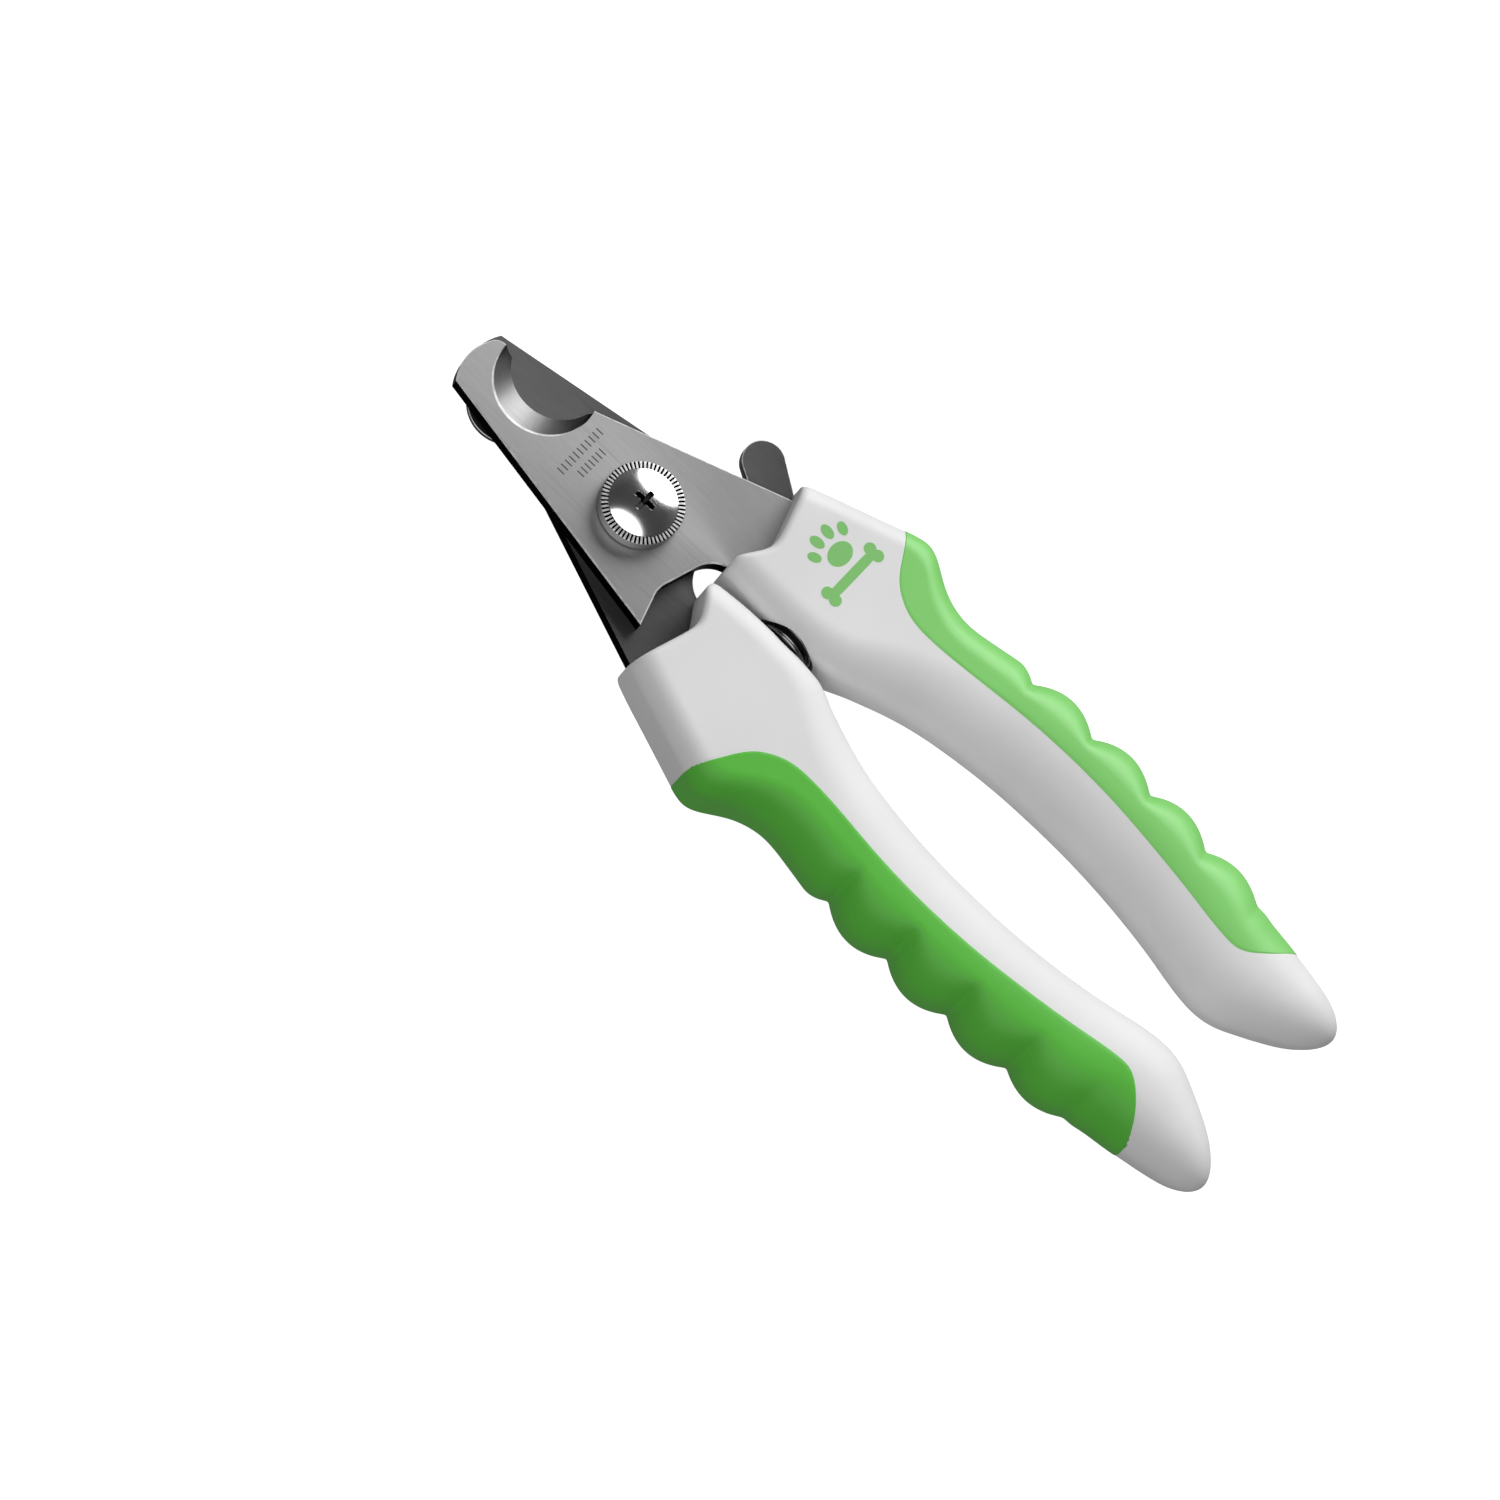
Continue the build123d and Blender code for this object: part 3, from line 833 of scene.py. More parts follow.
    def lines(self, s: np.ndarray) -> np.ndarray:
        """Station values along the handle, drawn in at the tip by the ellipse sqrt(1 - u^2).

        Args:
            s: distance along the handle, in the stations' mean x.

        Returns:
            Inner x and y, outer x and y, c, fi, fo and g, shape (len(s), 8).
        """
        table = np.array(self.stations)
        line = spline((table[:, 0] + table[:, 2]) / 2, table, s)
        u = np.clip((s - self.tip_from) / (self.tip_to - self.tip_from), 0, 0.99999)
        cap = np.sqrt(1 - u ** 2)
        line[:, 1] = self.tip_y + (line[:, 1] - self.tip_y) * cap
        line[:, 3] = self.tip_y + (line[:, 3] - self.tip_y) * cap
        line[:, 4] *= cap
        return line

    def collar(self, y: np.ndarray) -> np.ndarray:
        """Front edge of the neck: a rounded V, the soft minimum of two lines, cut short by a third.

        Args:
            y: places across the neck.

        Returns:
            The edge's x there.
        """
        upper, lower, nose = (x0 + (y - y0) * slope for x0, y0, slope in self.collar_lines)
        notch = -soft_max([-upper, -lower], self.collar_blurs[0])
        return soft_max([notch, nose], self.collar_blurs[1])

    def outer_edge(self, x: np.ndarray, envelope: np.ndarray) -> np.ndarray:
        """Outer edge with its finger scallops: the rounded maximum of one parabola for each finger.

        Args:
            x: places along the handle.
            envelope: the smooth edge through the lobes' tops there.

        Returns:
            Outer y of the scalloped edge.
        """
        start, end = self.fingers_span
        ends = [envelope - np.clip(x - start, 0, None) ** 2 / (2 * self.end_round),
                envelope - np.clip(end - x, 0, None) ** 2 / (2 * self.end_round)]
        fingers = [top - (x - centre) ** 2 / (2 * radius) for centre, top, radius in self.lobes]
        return np.minimum(soft_max([*ends, *fingers], self.finger_blur), envelope)

    def height(self, t: np.ndarray, line: np.ndarray) -> np.ndarray:
        """Height of the surface above the middle plane, as the class describes."""
        c, inner, outer, share = line[..., 4], line[..., 5], line[..., 6], line[..., 7]
        return c - share * c * (round_drop(t, inner) + round_drop(1 - t, outer))

    def surface(self, s: np.ndarray, t: np.ndarray) -> tuple[np.ndarray, np.ndarray, np.ndarray]:
        """Upper surface of the handle.

        Args:
            s: distance along the handle, shape (rows, 1) or (rows, columns).
            t: share across it, shape (rows, columns).

        Returns:
            Arrays x, y and height above the middle plane.
        """
        flat = np.broadcast_to(s, t.shape)
        line = self.lines(flat.ravel()).reshape(*t.shape, 8)
        x = line[..., 0] + t * (line[..., 2] - line[..., 0])
        y = line[..., 1] + t * (line[..., 3] - line[..., 1])
        high = self.height(t, line)
        front = self.collar(y)
        share = np.clip((x - self.collar_from) / (self.collar_to - self.collar_from), 0, 1)
        x = np.where(x < self.collar_to, front + share * (self.collar_to - front), x)
        high = high - self.front_round * round_drop(np.clip(x - front, 0, None), self.front_round)
        return x, y, np.maximum(high, 0)

    def grip_share(self, s: np.ndarray) -> np.ndarray:
        """Share t at which the grip's edge crosses each station line, for s on the arm.

        Args:
            s: distance along the handle.

        Returns:
            Shares, shaped like s.
        """
        edge = np.array(self.grip_edge)
        line = self.lines(s)
        moved = s + self.side.grip_shift * (1 - ease(*self.edge_fade, s))
        y = spline(edge[:, 0], edge[:, 1:2], moved)[:, 0]
        return np.clip((y - line[:, 1]) / (line[:, 3] - line[:, 1]), self.least_share, 1.0)

    def grip_ends(self) -> tuple[float, float]:
        """Find where the grip's edge lies inside the handle.

        Returns:
            First and last s at which it does.
        """
        s = np.linspace(self.grip_edge[0][0], self.grip_edge[-1][0], self.edge_steps)
        inside = s[self.grip_share(s) < self.full_share]
        return float(inside[0]), float(inside[-1])

    def rows(self) -> np.ndarray:
        """Places of the grid rows: close where the shape turns fast.

        Returns:
            Rising distances along the handle.
        """
        front = self.collar_from + (self.collar_to - self.collar_from) * (np.linspace(0, 1, 22) ** 2)
        arm = [np.arange(first, last, step) for first, last, step in self.row_steps]
        tip = self.tip_to - self.tip_rows * (np.linspace(1, 0, 34) ** 1.8)
        return np.concatenate([front, *arm, tip])

    def core(self) -> bpy.types.Object:
        """White core: the whole handle, sunk under the grip, with the spring's pocket cut in.

        Returns:
            The piece.
        """
        s = self.rows()[:, None]
        t = ((1 - np.cos(np.linspace(0, pi, self.columns))) / 2)[None, :] * np.ones_like(s)
        x, y, high = self.surface(s, t)
        start, end = self.grip_ends()
        edge = np.where((s[:, 0] > start) & (s[:, 0] < end), self.grip_share(np.clip(s[:, 0], start, end)), 1.0)
        depth = np.clip((t - edge[:, None]) / np.clip(1 - edge[:, None], 0.05, 1), 0, 1)
        line = self.lines(s[:, 0])
        taper = ease(start, start + self.core_taper, s) * (1 - ease(end - self.core_taper, end, s))
        sink = self.core_sink * ease(*self.core_fade, depth) * taper
        centre = ((line[:, 1] + line[:, 3]) / 2)[:, None]
        half = ((line[:, 3] - line[:, 1]) / 2)[:, None]
        y = centre + (y - centre) * (1 - sink / np.clip(half, 2, None))
        high = high * (1 - sink / np.clip(line[:, 4:5], 2, None))
        points = np.concatenate([self.upright(x, y, high), self.upright(x, y, -high)[:, ::-1]], axis=1)
        faces = grid_faces(len(s), 2 * self.columns, True).tolist()
        faces += [[j, j + 1, 2 * self.columns - 2 - j, 2 * self.columns - 1 - j] for j in range(self.columns - 1)]
        core = make_piece(f"{self.side.label}_core_shell", points, faces)
        turns = arc(*self.pocket)
        low, high = (np.column_stack([turns[:, 0], np.full(len(turns), self.side.sign * y), turns[:, 1]])
                     for y in self.pocket_span)
        carve(core, np.vstack([low, high]), prism(turns, 0, 1)[1])
        return core

    def upright(self, x: np.ndarray, y: np.ndarray, high: np.ndarray) -> np.ndarray:
        """Points of the handle from plan places and heights above the middle plane."""
        return np.stack([x, self.side.sign * y, HANDLE_MID + high], axis=-1)

    def grip(self) -> bpy.types.Object:
        """Soft grip: a closed skin from the upper edge, round the outer side, to the lower edge.

        Returns:
            The piece.
        """
        start, end = self.grip_ends()
        span = end - start
        u = np.linspace(0, 1, self.grip_rows)
        s = np.clip(start + span * (u - self.row_gather * np.sin(2 * pi * u)), start, end)[:, None]
        edge = self.grip_share(s[:, 0])[:, None]
        across = np.linspace(0, 1, self.grip_columns)[None, :]
        share = np.sin(across * pi / 2)
        t = edge + (1 - edge) * share
        x, y, high = self.surface(s, t)
        line = self.lines(s[:, 0])
        scallop = line[:, 3] - self.outer_edge(s[:, 0], line[:, 3])
        y = y - scallop[:, None] * ease(*self.scallop_fade, share)
        centre = ((line[:, 1] + line[:, 3]) / 2)[:, None]
        c = line[:, 4:5]
        half = (line[:, 3:4] - line[:, 1:2]) / 2
        inset = np.minimum(np.minimum((t - edge) * 2 * half, s - start), end - s)
        lip_drop, lip_round = self.grip_lip
        lift = self.grip_rise - lip_drop * round_drop(inset, lip_round)
        y_out = centre + (y - centre) * (1 + lift / half)
        high_out = high * (1 + lift / c)
        edge_sink, more_sink, sink_over = self.grip_sink
        sink = edge_sink + more_sink * ease(0.0, sink_over, inset)
        y_in = centre + (y - centre) * (1 - sink / half)
        high_in = high * (1 - sink / c)
        outside = np.concatenate([self.upright(x, y_out, high_out), self.upright(x, y_out, -high_out)[:, ::-1]], axis=1)
        inside = np.concatenate([self.upright(x, y_in, high_in), self.upright(x, y_in, -high_in)[:, ::-1]], axis=1)
        loop = np.concatenate([outside, inside[:, ::-1]], axis=1)
        rows, columns = loop.shape[:2]
        faces = grid_faces(rows, columns, True).tolist()
        half_way = columns // 2
        for row in (0, rows - 1):
            first = row * columns
            faces += [[first + j, first + j + 1, first + columns - 2 - j, first + columns - 1 - j]
                      for j in range(half_way - 1)]
        return make_piece(f"{self.side.label}_grip_skin", loop, faces, 50)


# --------------------------------------------------------------------------- pivot, lever, guard, spring


@dataclass
class Pivot:
    """Screw with its serrated dome, the hexagon nut and the guard plate behind the blades."""

    head_r: float = 6.55
    base: float = 9.8
    wall: float = 12.2
    lip_r: float = 5.4
    apex: float = 13.45
    shank_r: float = 2.2
    serrations: int = 60
    cross_half: float = 1.75
    cross_arm: float = 0.42
    cross_depth: tuple = (1.3, 0.35)
    tooth_depth: float = 0.42
    nut_flats: float = 9.0
    nut_high: float = 1.8
    nut_chamfer: tuple = (0.98, 0.577)
    bore_bevel: float = 0.25
    guard_paddle: tuple = ((-25.4, 0.0), 6.2, 35.5, 324.5, 70)
    guard_hub: tuple = ((0.0, 0.0), 6.0, -150, 150, 60)
    guard_waist: tuple = (-16.0, 3.75)
    guard_heights: tuple = (2.2, 3.2, 0.18)

    def screw(self) -> bpy.types.Object:
        """Screw: turned profile with cosine serrations on the ring and a cross sunk in the dome.

        Returns:
            The piece.
        """
        rise = self.apex - self.wall - 0.1
        ball = (self.lip_r ** 2 + rise ** 2) / (2 * rise)
        r_dome = np.concatenate([np.linspace(0, 2.3, 48), np.linspace(2.45, self.lip_r - 0.05, 18)])
        z_dome = self.apex - ball + np.sqrt(ball ** 2 - r_dome ** 2)
        r_lip = np.linspace(self.lip_r, self.head_r - 0.12, 12)
        z_lip = self.wall + 0.02 - 0.05 * (r_lip - self.lip_r)
        rim = np.radians(np.linspace(15, 90, 5))
        r_side = np.concatenate([self.head_r - 0.12 * (1 - np.sin(rim)), [self.head_r] * 3])
        z_side = np.concatenate([self.wall - 0.16 + 0.12 * np.cos(rim), [11.6, 10.6, self.base + 0.1]])
        r_low = np.array([self.head_r - 0.1, 4.0, self.shank_r, self.shank_r, self.shank_r - 0.25, 0.0])
        z_low = np.array([self.base, self.base, self.base, 0.3, 0.06, 0.06])
        profile = np.column_stack([np.concatenate([r_dome, r_lip, r_side, r_low]),
                                   np.concatenate([z_dome, z_lip, z_side, z_low])])
        around = self.serrations * 12
        points, faces = turned_surface(profile, around)
        points[0, :, :2] = 0.0
        r = np.hypot(points[..., 0], points[..., 1])
        angle = np.arctan2(points[..., 1], points[..., 0])
        on_head = points[..., 2] > self.base + 1.5
        band = ease(self.lip_r + 0.02, self.lip_r + 0.14, r)
        teeth = ease(0.2, 0.6, np.cos(self.serrations * angle)) * band * on_head
        points[..., 2] -= self.tooth_depth * teeth * (1 - ease(self.head_r - 0.10, self.head_r - 0.02, r))
        across = np.maximum(np.abs(points[..., 0]) - self.cross_half, np.abs(points[..., 1]) - self.cross_arm)
        upright = np.maximum(np.abs(points[..., 1]) - self.cross_half, np.abs(points[..., 0]) - self.cross_arm)
        cross = (1 - ease(-0.08, 0.02, np.minimum(across, upright))) * on_head
        middle, fall = self.cross_depth
        points[..., 2] -= (middle - fall * r) * cross
        piece = make_piece("screw_head", points, faces, 40)
        self.mark_groove_shade(piece)
        return piece

    def mark_groove_shade(self, piece: bpy.types.Object) -> None:
        """Write painted_groove_shade, 1 down in the cross and the serrations, where shade is painted near-black, and
        brushed, 1 on the ring's teeth.

        Args:
            piece: the finished screw.
        """
        spots = np.empty(3 * len(piece.data.vertices), dtype=np.float32)
        piece.data.vertices.foreach_get("co", spots)
        x, y, z = spots.reshape(-1, 3).T / MM
        r = np.hypot(x, y)
        in_ring = (z < self.wall - 0.12) & (z > self.wall - 0.7) & (r > self.lip_r) & (r < self.head_r - 0.01)
        in_cross = (z > self.wall - 0.2) & (z < self.apex - 0.35) & (r < self.cross_half + 0.1)
        on_teeth = (z >= self.wall - 0.12) & (r > self.lip_r)
        # painted shade mask: the serrations' gaps and the cross, painted near-black by the chrome
        for name, mask in (("painted_groove_shade", in_ring | in_cross), ("brushed", on_teeth)):
            layer = piece.data.attributes.new(name, "FLOAT", "POINT")
            layer.data.foreach_set("value", mask.astype(np.float32))

    def nut(self) -> bpy.types.Object:
        """Hexagon nut: radius h / cos(a) to the flats, corners taken off by a 30 degree cone.

        Returns:
            The piece.
        """
        around = 180
        angle = np.linspace(0, 2 * pi, around, endpoint=False)
        flat = self.nut_flats / 2
        hexagon = flat / np.cos((angle + pi / 6) % (pi / 3) - pi / 6)
        share = np.concatenate([np.linspace(0, 1, 8), [1.0, 1.0], np.linspace(1, 0, 8)])
        inner = self.shank_r + 0.05
        lower = np.concatenate([np.zeros(8), [0.4, 1.4], np.full(8, self.nut_high)])
        r = inner + self.bore_bevel + (hexagon[None] - inner - self.bore_bevel) * share[:, None]
        chamfer_from, slope = self.nut_chamfer
        cone = np.clip((r - flat * chamfer_from) * slope, 0, None)
        z = np.where(lower[:, None] < self.nut_high / 2, np.maximum(lower[:, None], cone),
                     np.minimum(lower[:, None], self.nut_high - cone))
        bore = np.array([[self.nut_high - self.bore_bevel], [self.bore_bevel]])
        r = np.concatenate([r, np.full((2, around), inner)])
        z = np.concatenate([z, np.broadcast_to(bore, (2, around))])
        points = np.stack([r * np.cos(angle), r * np.sin(angle), z], axis=-1)
        rows = len(r)
        faces = grid_faces(rows, around, True).tolist()
        ring = np.arange(around)
        after = (ring + 1) % around
        faces += np.stack([ring + (rows - 1) * around, after + (rows - 1) * around, after, ring], axis=-1).tolist()
        return make_piece("back_nut", points, faces, 25)

    def guard(self) -> bpy.types.Object:
        """Guard plate: round hub and round paddle, joined by straight edges through the waist.

        Returns:
            The piece.
        """
        x, half = self.guard_waist
        outline = np.concatenate([arc(*self.guard_hub), [[x, half]], arc(*self.guard_paddle), [[x, -half]]])
        points, faces = plate(outline, *self.guard_heights)
        return make_piece("guard_plate", points, faces, 30)


@dataclass
class LockLever:
    """Thumb lever: a strip between two round ends, notched where it hooks over the heel."""

    tab: tuple[float, float] = (8.5, 21.0)
    pivot: tuple[float, float] = (23.6, 10.6)
    tab_r: float = 3.5
    half: float = 3.4
    low: float = 4.2
    high: float = 6.2

    def outline(self) -> np.ndarray:
        """Plan of the lever, anticlockwise.

        Returns:
            Plan points, shape (n, 2).
        """
        heading = np.degrees(np.arctan2(self.tab[1] - self.pivot[1], self.tab[0] - self.pivot[0]))
        tab = arc(self.tab, self.tab_r, heading - 90, heading + 90, 40)
        hinge = arc(self.pivot, self.half, heading + 90, heading + 270, 40)
        hook = np.array([[8.75, 16.80], [13.30, 16.50], [13.65, 16.00], [12.60, 14.10]])
        return np.concatenate([tab, hook, hinge])

    def build(self) -> bpy.types.Object:
        """The lever with rounded rims.

        Returns:
            The piece.
        """
        points, faces = plate(self.outline(), self.low, self.high, 0.22)
        return make_piece("thumb_lever", points, faces, 30)


@dataclass
class ReturnSpring:
    """Open coil along Y between the handle necks, with its end turns closed up."""

    x: float = 30.0
    radius: float = 4.4
    wire: float = 0.6
    turns: float = 6.5
    reach: float = 5.25

    def build(self) -> bpy.types.Object:
        """Tube round the helix (R cos p, y(p), R sin p), y easing from one end turn to the other.

        Returns:
            The piece.
        """
        p = np.linspace(0, 2 * pi * self.turns, int(self.turns * 56))
        share = p / p[-1]
        lay = 0.5 - 0.5 * np.cos(pi * share)
        y = self.reach * (2 * (0.75 * share + 0.25 * lay) - 1)
        centre = np.column_stack([self.x + self.radius * np.cos(p), y, HANDLE_MID + self.radius * np.sin(p)])
        tangent = np.gradient(centre, axis=0)
        tangent /= np.linalg.norm(tangent, axis=1, keepdims=True)
        out = np.column_stack([np.cos(p), np.zeros_like(p), np.sin(p)])
        side = np.cross(tangent, out)
        a = np.linspace(0, 2 * pi, 20, endpoint=False)[None, :, None]
        tube = centre[:, None] + self.wire * (np.cos(a) * out[:, None] + np.sin(a) * side[:, None])
        rows, columns = tube.shape[:2]
        faces = grid_faces(rows, columns, True).tolist()
        faces += [list(range(columns)), list(range((rows - 1) * columns, rows * columns))]
        return make_piece("coil", tube, faces, 60)


# --------------------------------------------------------------------------- marks


@dataclass
class Marks:
    """Printed paw and bone on the front neck, and the ticks etched in the front blade."""

    handle: Handle
    pads: tuple = ((26.6, 14.8, 1.75, 2.3, 0.0), (24.2, 11.5, 1.15, 0.8, 24.0), (22.9, 13.6, 1.3, 0.85, 8.0),
                   (22.9, 16.0, 1.3, 0.85, -8.0), (24.2, 18.1, 1.15, 0.8, -24.0))
    bone: tuple = (30.1, 13.8, 0.8, 5.0, 1.0)
    film_lift: float = 0.012
    film_root: float = -0.05
    film_step: float = 0.003
    # rows of ticks: x, first and last y and how many
    tick_rows: tuple = ((-12.3, -4.4, 4.6, 11), (-9.85, -2.5, 2.5, 7))
    tick_half: tuple = (0.7, 0.11)
    tick_span: tuple = (-0.05, 0.004)

    def patch(self, x: np.ndarray, y: np.ndarray) -> np.ndarray:
        """Lay plan points on the neck's upper surface.

        Args:
            x: places along the handle.
            y: places across it.

        Returns:
            Points on the surface, with a last axis of 3.
        """
        line = self.handle.lines(x.ravel()).reshape(*x.shape, 8)
        high = self.handle.height((y - line[..., 1]) / (line[..., 3] - line[..., 1]), line)
        return np.stack([x, y, HANDLE_MID + high], axis=-1)

    def print(self) -> bpy.types.Object:
        """Ink film: each pad is a disc of rings r (a cos p, b sin p), laid on the neck.

        The bone is a squarer disc with a round knob at each corner, each film a hair above the last.

        Returns:
            The piece.
        """
        points, faces = [], []
        p = np.linspace(0, 2 * pi, 48, endpoint=False)[None]
        r = np.concatenate([np.linspace(0.02, 1, 9), [1.0]])[:, None]
        lift = np.concatenate([np.full(9, self.film_lift), [self.film_root]])[:, None]
        x, y, half_width, half_length, knob = self.bone
        shapes = [(*pad, 2.0) for pad in self.pads]
        shapes += [(x + side * half_width, y + end * half_length, knob, knob, 0.0, 2.0)
                   for side in (-1, 1) for end in (-1, 1)]
        shapes.append((x, y, half_width, half_length, 0.0, 6.0))
        for number, (cx, cy, a, b, turn, power) in enumerate(shapes):
            across = np.sign(np.cos(p)) * np.abs(np.cos(p)) ** (2 / power) * a * r
            along = np.sign(np.sin(p)) * np.abs(np.sin(p)) ** (2 / power) * b * r
            c, s = cos(radians(turn)), sin(radians(turn))
            film = self.patch(cx + across * c - along * s, cy + across * s + along * c)
            film[..., 2] += lift + self.film_step * number
            first = sum(len(block) for block in points)
            points.append(film.reshape(-1, 3))
            faces += grid_faces(len(r), p.shape[1], True, first).tolist()
            faces.append(list(range(first, first + p.shape[1])))
            faces.append(list(range(first + (len(r) - 1) * p.shape[1], first + len(r) * p.shape[1])))
        return make_piece("paw_print", np.concatenate(points), faces, 60)

    def ticks(self) -> bpy.types.Object:
        """Two rows of short etched lines, as thin dark bars in the blade's face.

        Returns:
            The piece.
        """
        spots = np.concatenate([np.column_stack([np.full(count, x), np.linspace(first, last, count)])
                                for x, first, last, count in self.tick_rows])
        corner = np.array([[-1, -1], [1, -1], [1, 1], [-1, 1]]) * self.tick_half
        plan = spots[:, None] + corner[None]
        low, high = (np.concatenate([plan, np.full((*plan.shape[:2], 1), FRONT_TOP + rise)], axis=-1)
                     for rise in self.tick_span)
        points = np.concatenate([low, high], axis=1)
        cube = np.array([[3, 2, 1, 0], [4, 5, 6, 7], [0, 1, 5, 4], [1, 2, 6, 5], [2, 3, 7, 6], [3, 0, 4, 7]])
        faces = (cube[None] + 8 * np.arange(len(spots))[:, None, None]).reshape(-1, 4)
        return make_piece("etched_ticks", points, faces.tolist())


# --------------------------------------------------------------------------- studio


@dataclass
class Studio:
    """Pale floor, soft lights and the camera."""

    view_tilt: float = 21.5
    roll: float = 43.6
    look_at: tuple[float, float, float] = (37.1, -15.88, 9.39)
    distance: float = 1040.0
    lens: float = 167.2
    floor_glow: float = 0.95
    room_low: float = 0.26
    room_high: float = 0.05

    def camera(self) -> None:
        """Long lens tilted from the vertical towards -Y and rolled about its own axis."""
        tilt, roll = radians(self.view_tilt), radians(self.roll)
        along = Vector((1, 0, 0))
        across = Vector((0, cos(tilt), sin(tilt)))
        back = Vector((0, -sin(tilt), cos(tilt)))
        right = along * cos(roll) + across * sin(roll)
        up = across * cos(roll) - along * sin(roll)
        data = bpy.data.cameras.new("camera")
        data.lens = self.lens
        data.sensor_width = 36.0
        data.clip_start = 0.05
        camera = bpy.data.objects.new("camera", data)
        bpy.context.scene.collection.objects.link(camera)
        axes = Matrix((right, up, back)).transposed().to_4x4()
        camera.matrix_world = Matrix.Translation((Vector(self.look_at) + back * self.distance) * MM) @ axes
        bpy.context.scene.camera = camera

    def light(self, name: str, place: tuple, aim: tuple, size: tuple, power: float) -> None:
        """One oval soft light.

        Args:
            name: name of the light.
            place: where it hangs, in metres.
            aim: what it points at, in metres.
            size: width and height, in metres.
            power: power in watts.
        """
        data = bpy.data.lights.new(name, "AREA")
        data.shape = "ELLIPSE"
        data.size, data.size_y = size
        data.energy = power
        lamp = bpy.data.objects.new(name, data)
        bpy.context.scene.collection.objects.link(lamp)
        lamp.location = place
        lamp.rotation_euler = (Vector(aim) - Vector(place)).to_track_quat("-Z", "Y").to_euler()

    def paper(self) -> bpy.types.Material:
        """White paper that glows a little, so that shadows on it stay faint.

        Returns:
            The material.
        """
        material = bpy.data.materials.new("floor_paper")
        material.use_nodes = True
        sheet = material.node_tree.nodes["Principled BSDF"]
        sheet.label = "backlit paper"
        sheet.inputs["Base Color"].default_value = (0.45, 0.45, 0.45, 1.0)
        sheet.inputs["Roughness"].default_value = 0.9
        sheet.inputs["Specular IOR Level"].default_value = 0.0
        sheet.inputs["Emission Color"].default_value = (1.0, 1.0, 1.0, 1.0)
        sheet.inputs["Emission Strength"].default_value = self.floor_glow
        return material

    def room(self) -> bpy.types.World:
        """Room that is dim overhead and paler towards and below the horizon.

        Returns:
            The world.
        """
        world = bpy.data.worlds.new("studio")
        world.use_nodes = True
        nodes, links = world.node_tree.nodes, world.node_tree.links
        look = nodes.new("ShaderNodeTexCoord")
        look.label = "direction into the room"
        axes = nodes.new("ShaderNodeSeparateXYZ")
        axes.label = "height of that direction"
        level = nodes.new("ShaderNodeMapRange")
        level.label = "paler low down"
        for column, node in enumerate((look, axes, level)):
            node.location = (column * 220 - 700, 0)
        level.inputs["From Min"].default_value = 0.05
        level.inputs["From Max"].default_value = 0.75
        level.inputs["To Min"].default_value = self.room_low
        level.inputs["To Max"].default_value = self.room_high
        links.new(look.outputs["Generated"], axes.inputs["Vector"])
        links.new(axes.outputs["Z"], level.inputs["Value"])
        links.new(level.outputs["Result"], nodes["Background"].inputs["Strength"])
        nodes["Background"].inputs["Color"].default_value = (1.0, 1.0, 1.0, 1.0)
        return world

    def build(self) -> None:
        """Set up the floor, the lights, the world and the camera."""
        mesh = bpy.data.meshes.new("floor")
        mesh.from_pydata([(-3, -3, -0.0002), (3, -3, -0.0002), (3, 3, -0.0002), (-3, 3, -0.0002)], [], [(0, 1, 2, 3)])
        floor = bpy.data.objects.new("floor", mesh)
        bpy.context.scene.collection.objects.link(floor)
        mesh.materials.append(self.paper())
        floor.visible_diffuse = False
        floor.visible_glossy = False
        centre = (0.05, 0.0, 0.0)
        self.light("key", (-0.02, 0.76, 0.47), centre, (0.85, 0.75), 8.0)
        self.light("soft_box", (0.05, -0.55, 1.07), centre, (1.4, 1.0), 6.3)
        bpy.context.scene.world = self.room()
        bpy.context.scene.view_settings.view_transform = "Standard"
        self.camera()


# --------------------------------------------------------------------------- the whole clipper


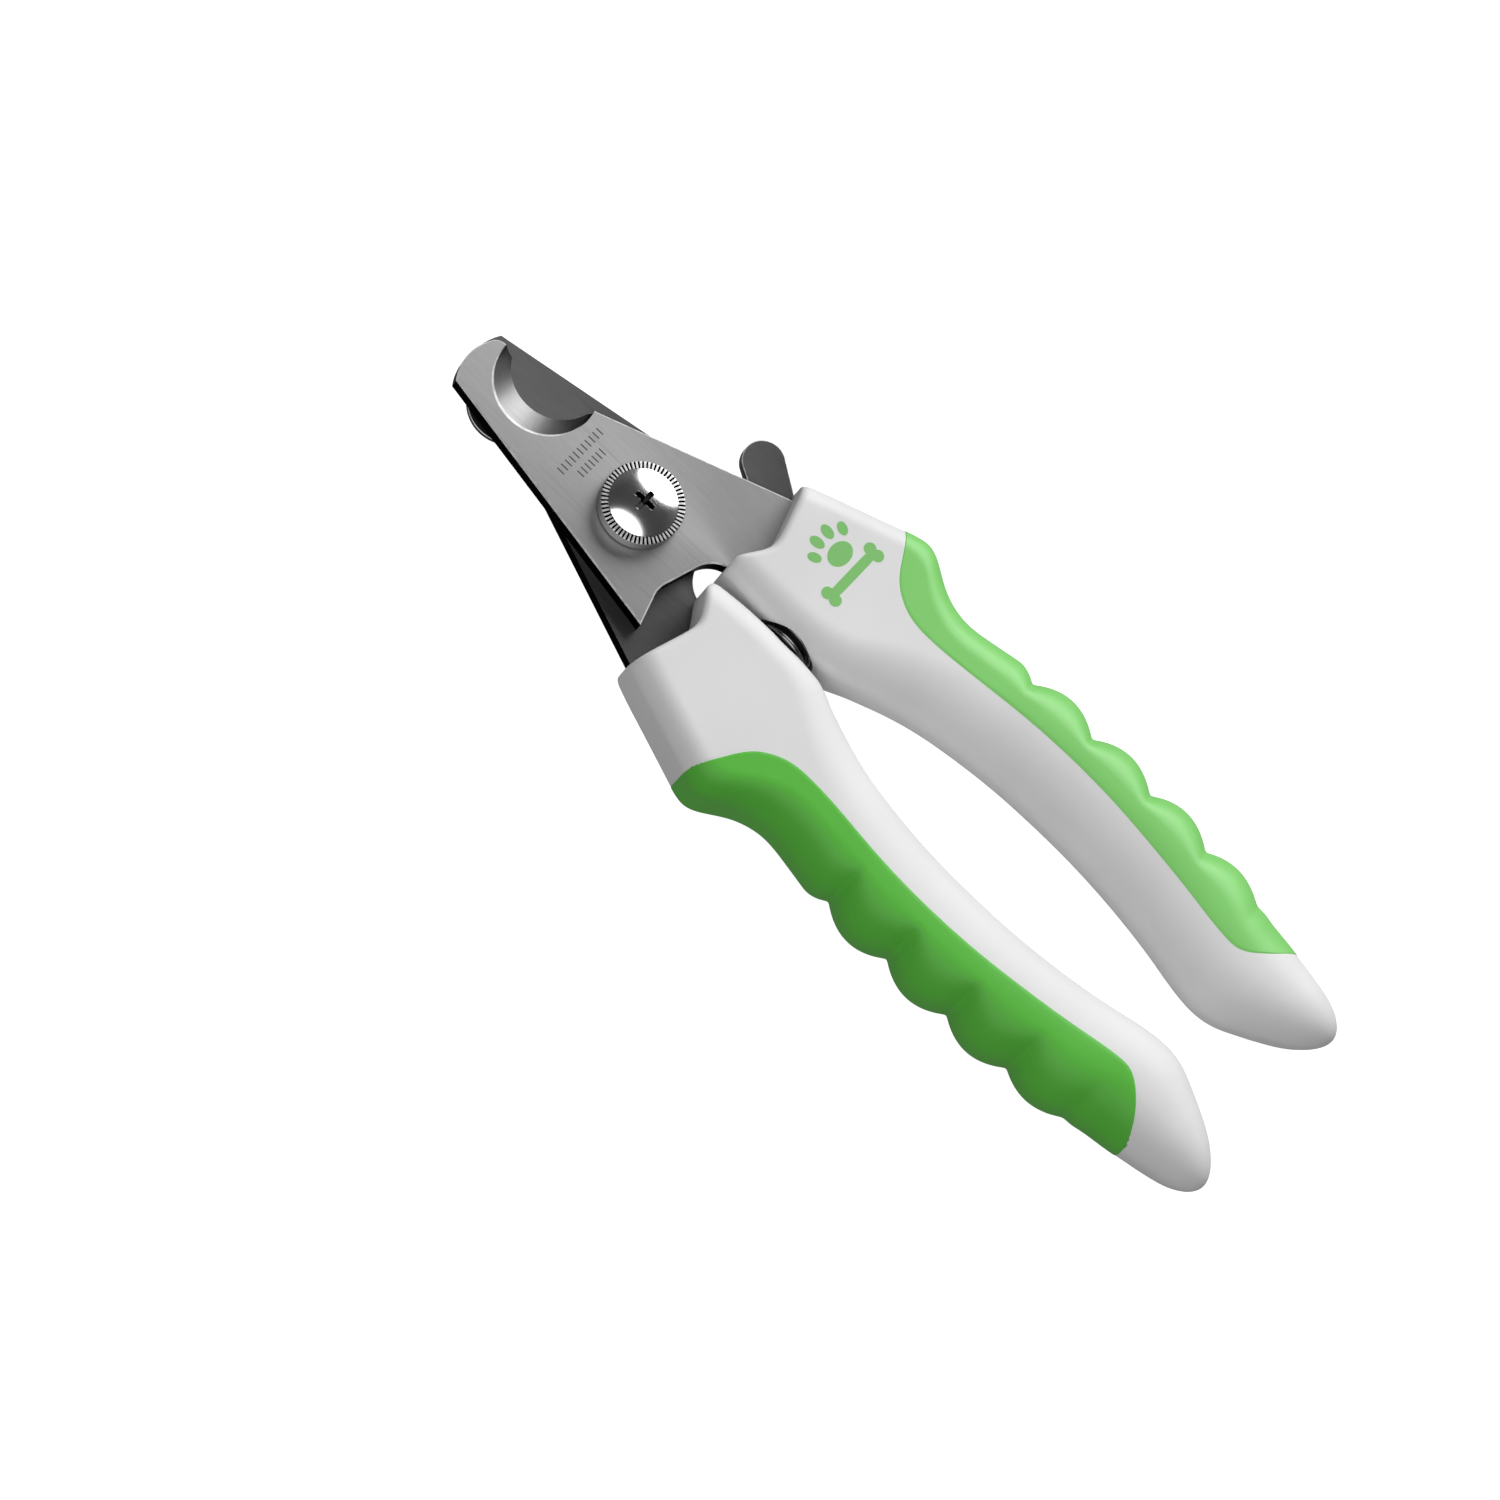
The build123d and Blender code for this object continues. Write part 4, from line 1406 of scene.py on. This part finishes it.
@dataclass
class NailClipper:
    """The whole clipper: builds every new piece and dresses the CAD nodes that stay."""

    finishes: dict[str, bpy.types.Material] = field(default_factory=dict)

    def mix_finishes(self) -> None:
        """Make each material once."""
        recipes = (
            SteelFinish("blade_steel", face=0.36, wall=0.015, rim=0.95, roughness=0.52, grain=0.4),
            # painted shade: the rear blade is the same steel as the front one, its faces painted darker for the shade
            # under the front blade
            SteelFinish("rear_blade_painted_shade_steel", face=0.12, wall=0.015, rim=0.90, roughness=0.45, grain=0.5),
            SteelFinish("lever_steel", face=0.095, wall=0.012, rim=0.90, roughness=0.42, grain=0.3, length=4.0,
                        rim_off_seam=0.2),
            SteelFinish("pin_steel", face=0.6, wall=0.4, rim=0.6, roughness=0.3, grain=0.2),
            SteelFinish("nut_steel", face=0.6, wall=0.5, rim=0.7, roughness=0.25, grain=0.2),
            ChromeFinish("screw_chrome"),
            MouldedFinish("white_plastic", colour=(0.80, 0.80, 0.80), roughness=0.55, gloss=0.4),
            MouldedFinish("seat_plastic", colour=(0.03, 0.03, 0.03), roughness=0.5),
            # painted light: both grips are one green rubber; the front copy is painted lighter, the light its side
            # catches, and the rear copy painted darker, the shade on its side
            MouldedFinish("front_green_grip", colour=(0.22, 0.66, 0.15), roughness=0.45, skin_depth=0.00002,
                          gloss=0.6),
            MouldedFinish("rear_green_grip", colour=(0.10, 0.52, 0.045), roughness=0.50, skin_depth=0.00002,
                          gloss=0.4),
            MouldedFinish("print_ink", colour=(0.22, 0.57, 0.16), roughness=0.4),
            MouldedFinish("tick_etch", colour=(0.10, 0.10, 0.10), roughness=0.5, metallic=1.0),
            MouldedFinish("spring_black", colour=(0.22, 0.22, 0.22), roughness=0.22, metallic=1.0),
        )
        self.finishes = {recipe.name: recipe.build() for recipe in recipes}

    def dress_nodes(self) -> None:
        """Give the CAD nodes that stay visible their finishes."""
        dressed = {
            "front_blade": "blade_steel", "rear_blade": "rear_blade_painted_shade_steel", "pivot_sleeve": "pin_steel",
            "head_washer": "pin_steel", "guard_washer": "seat_plastic", "spring_washer": "pin_steel",
            "front_spring_seat": "seat_plastic", "rear_spring_seat": "seat_plastic", "lock_rivet": "pin_steel",
            "lock_washer": "pin_steel", "front_tang_pins": "pin_steel", "rear_tang_pins": "pin_steel",
        }
        for node, finish in dressed.items():
            mesh = frame["nodes"][node].data
            mesh.materials.clear()
            mesh.materials.append(self.finishes[finish])
            LOG.info("%s dressed in %s", node, finish)

    def build(self) -> None:
        """Build and dress every piece."""
        self.mix_finishes()
        self.dress_nodes()
        for side in Side:
            handle = Handle(side)
            finish_piece(handle.core(), side.body, self.finishes["white_plastic"],
                         (f"{side.label}_handle_core",))
            # each half's grip takes its copy of the rubber with painted light or painted shade
            finish_piece(handle.grip(), side.body, self.finishes[f"{side.label}_green_grip"],
                         (f"{side.label}_grip",))
        marks = Marks(Handle(Side.FRONT))
        finish_piece(marks.print(), "front_half", self.finishes["print_ink"])
        finish_piece(marks.ticks(), "front_half", self.finishes["tick_etch"])
        pivot = Pivot()
        finish_piece(pivot.screw(), "rear_half", self.finishes["screw_chrome"], ("pivot_screw",))
        finish_piece(pivot.nut(), "rear_half", self.finishes["nut_steel"], ("pivot_nut",))
        finish_piece(pivot.guard(), "safety_guard", self.finishes["lever_steel"], ("safety_guard",))
        finish_piece(LockLever().build(), "lock_lever", self.finishes["lever_steel"], ("lock_lever",))
        coil = ReturnSpring().build()
        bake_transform(coil, "rear_half", "front_half", start=(0.030, -0.0045, 0.0076), end=(0.030, 0.0045, 0.0076))
        finish_piece(coil, "both halves", self.finishes["spring_black"], ("return_spring",))


def main() -> None:
    """Build the clipper and its studio."""
    logging.basicConfig(level=logging.INFO, format="%(message)s")
    NailClipper().build()
    Studio().build()


if __name__ == "__main__":
    main()
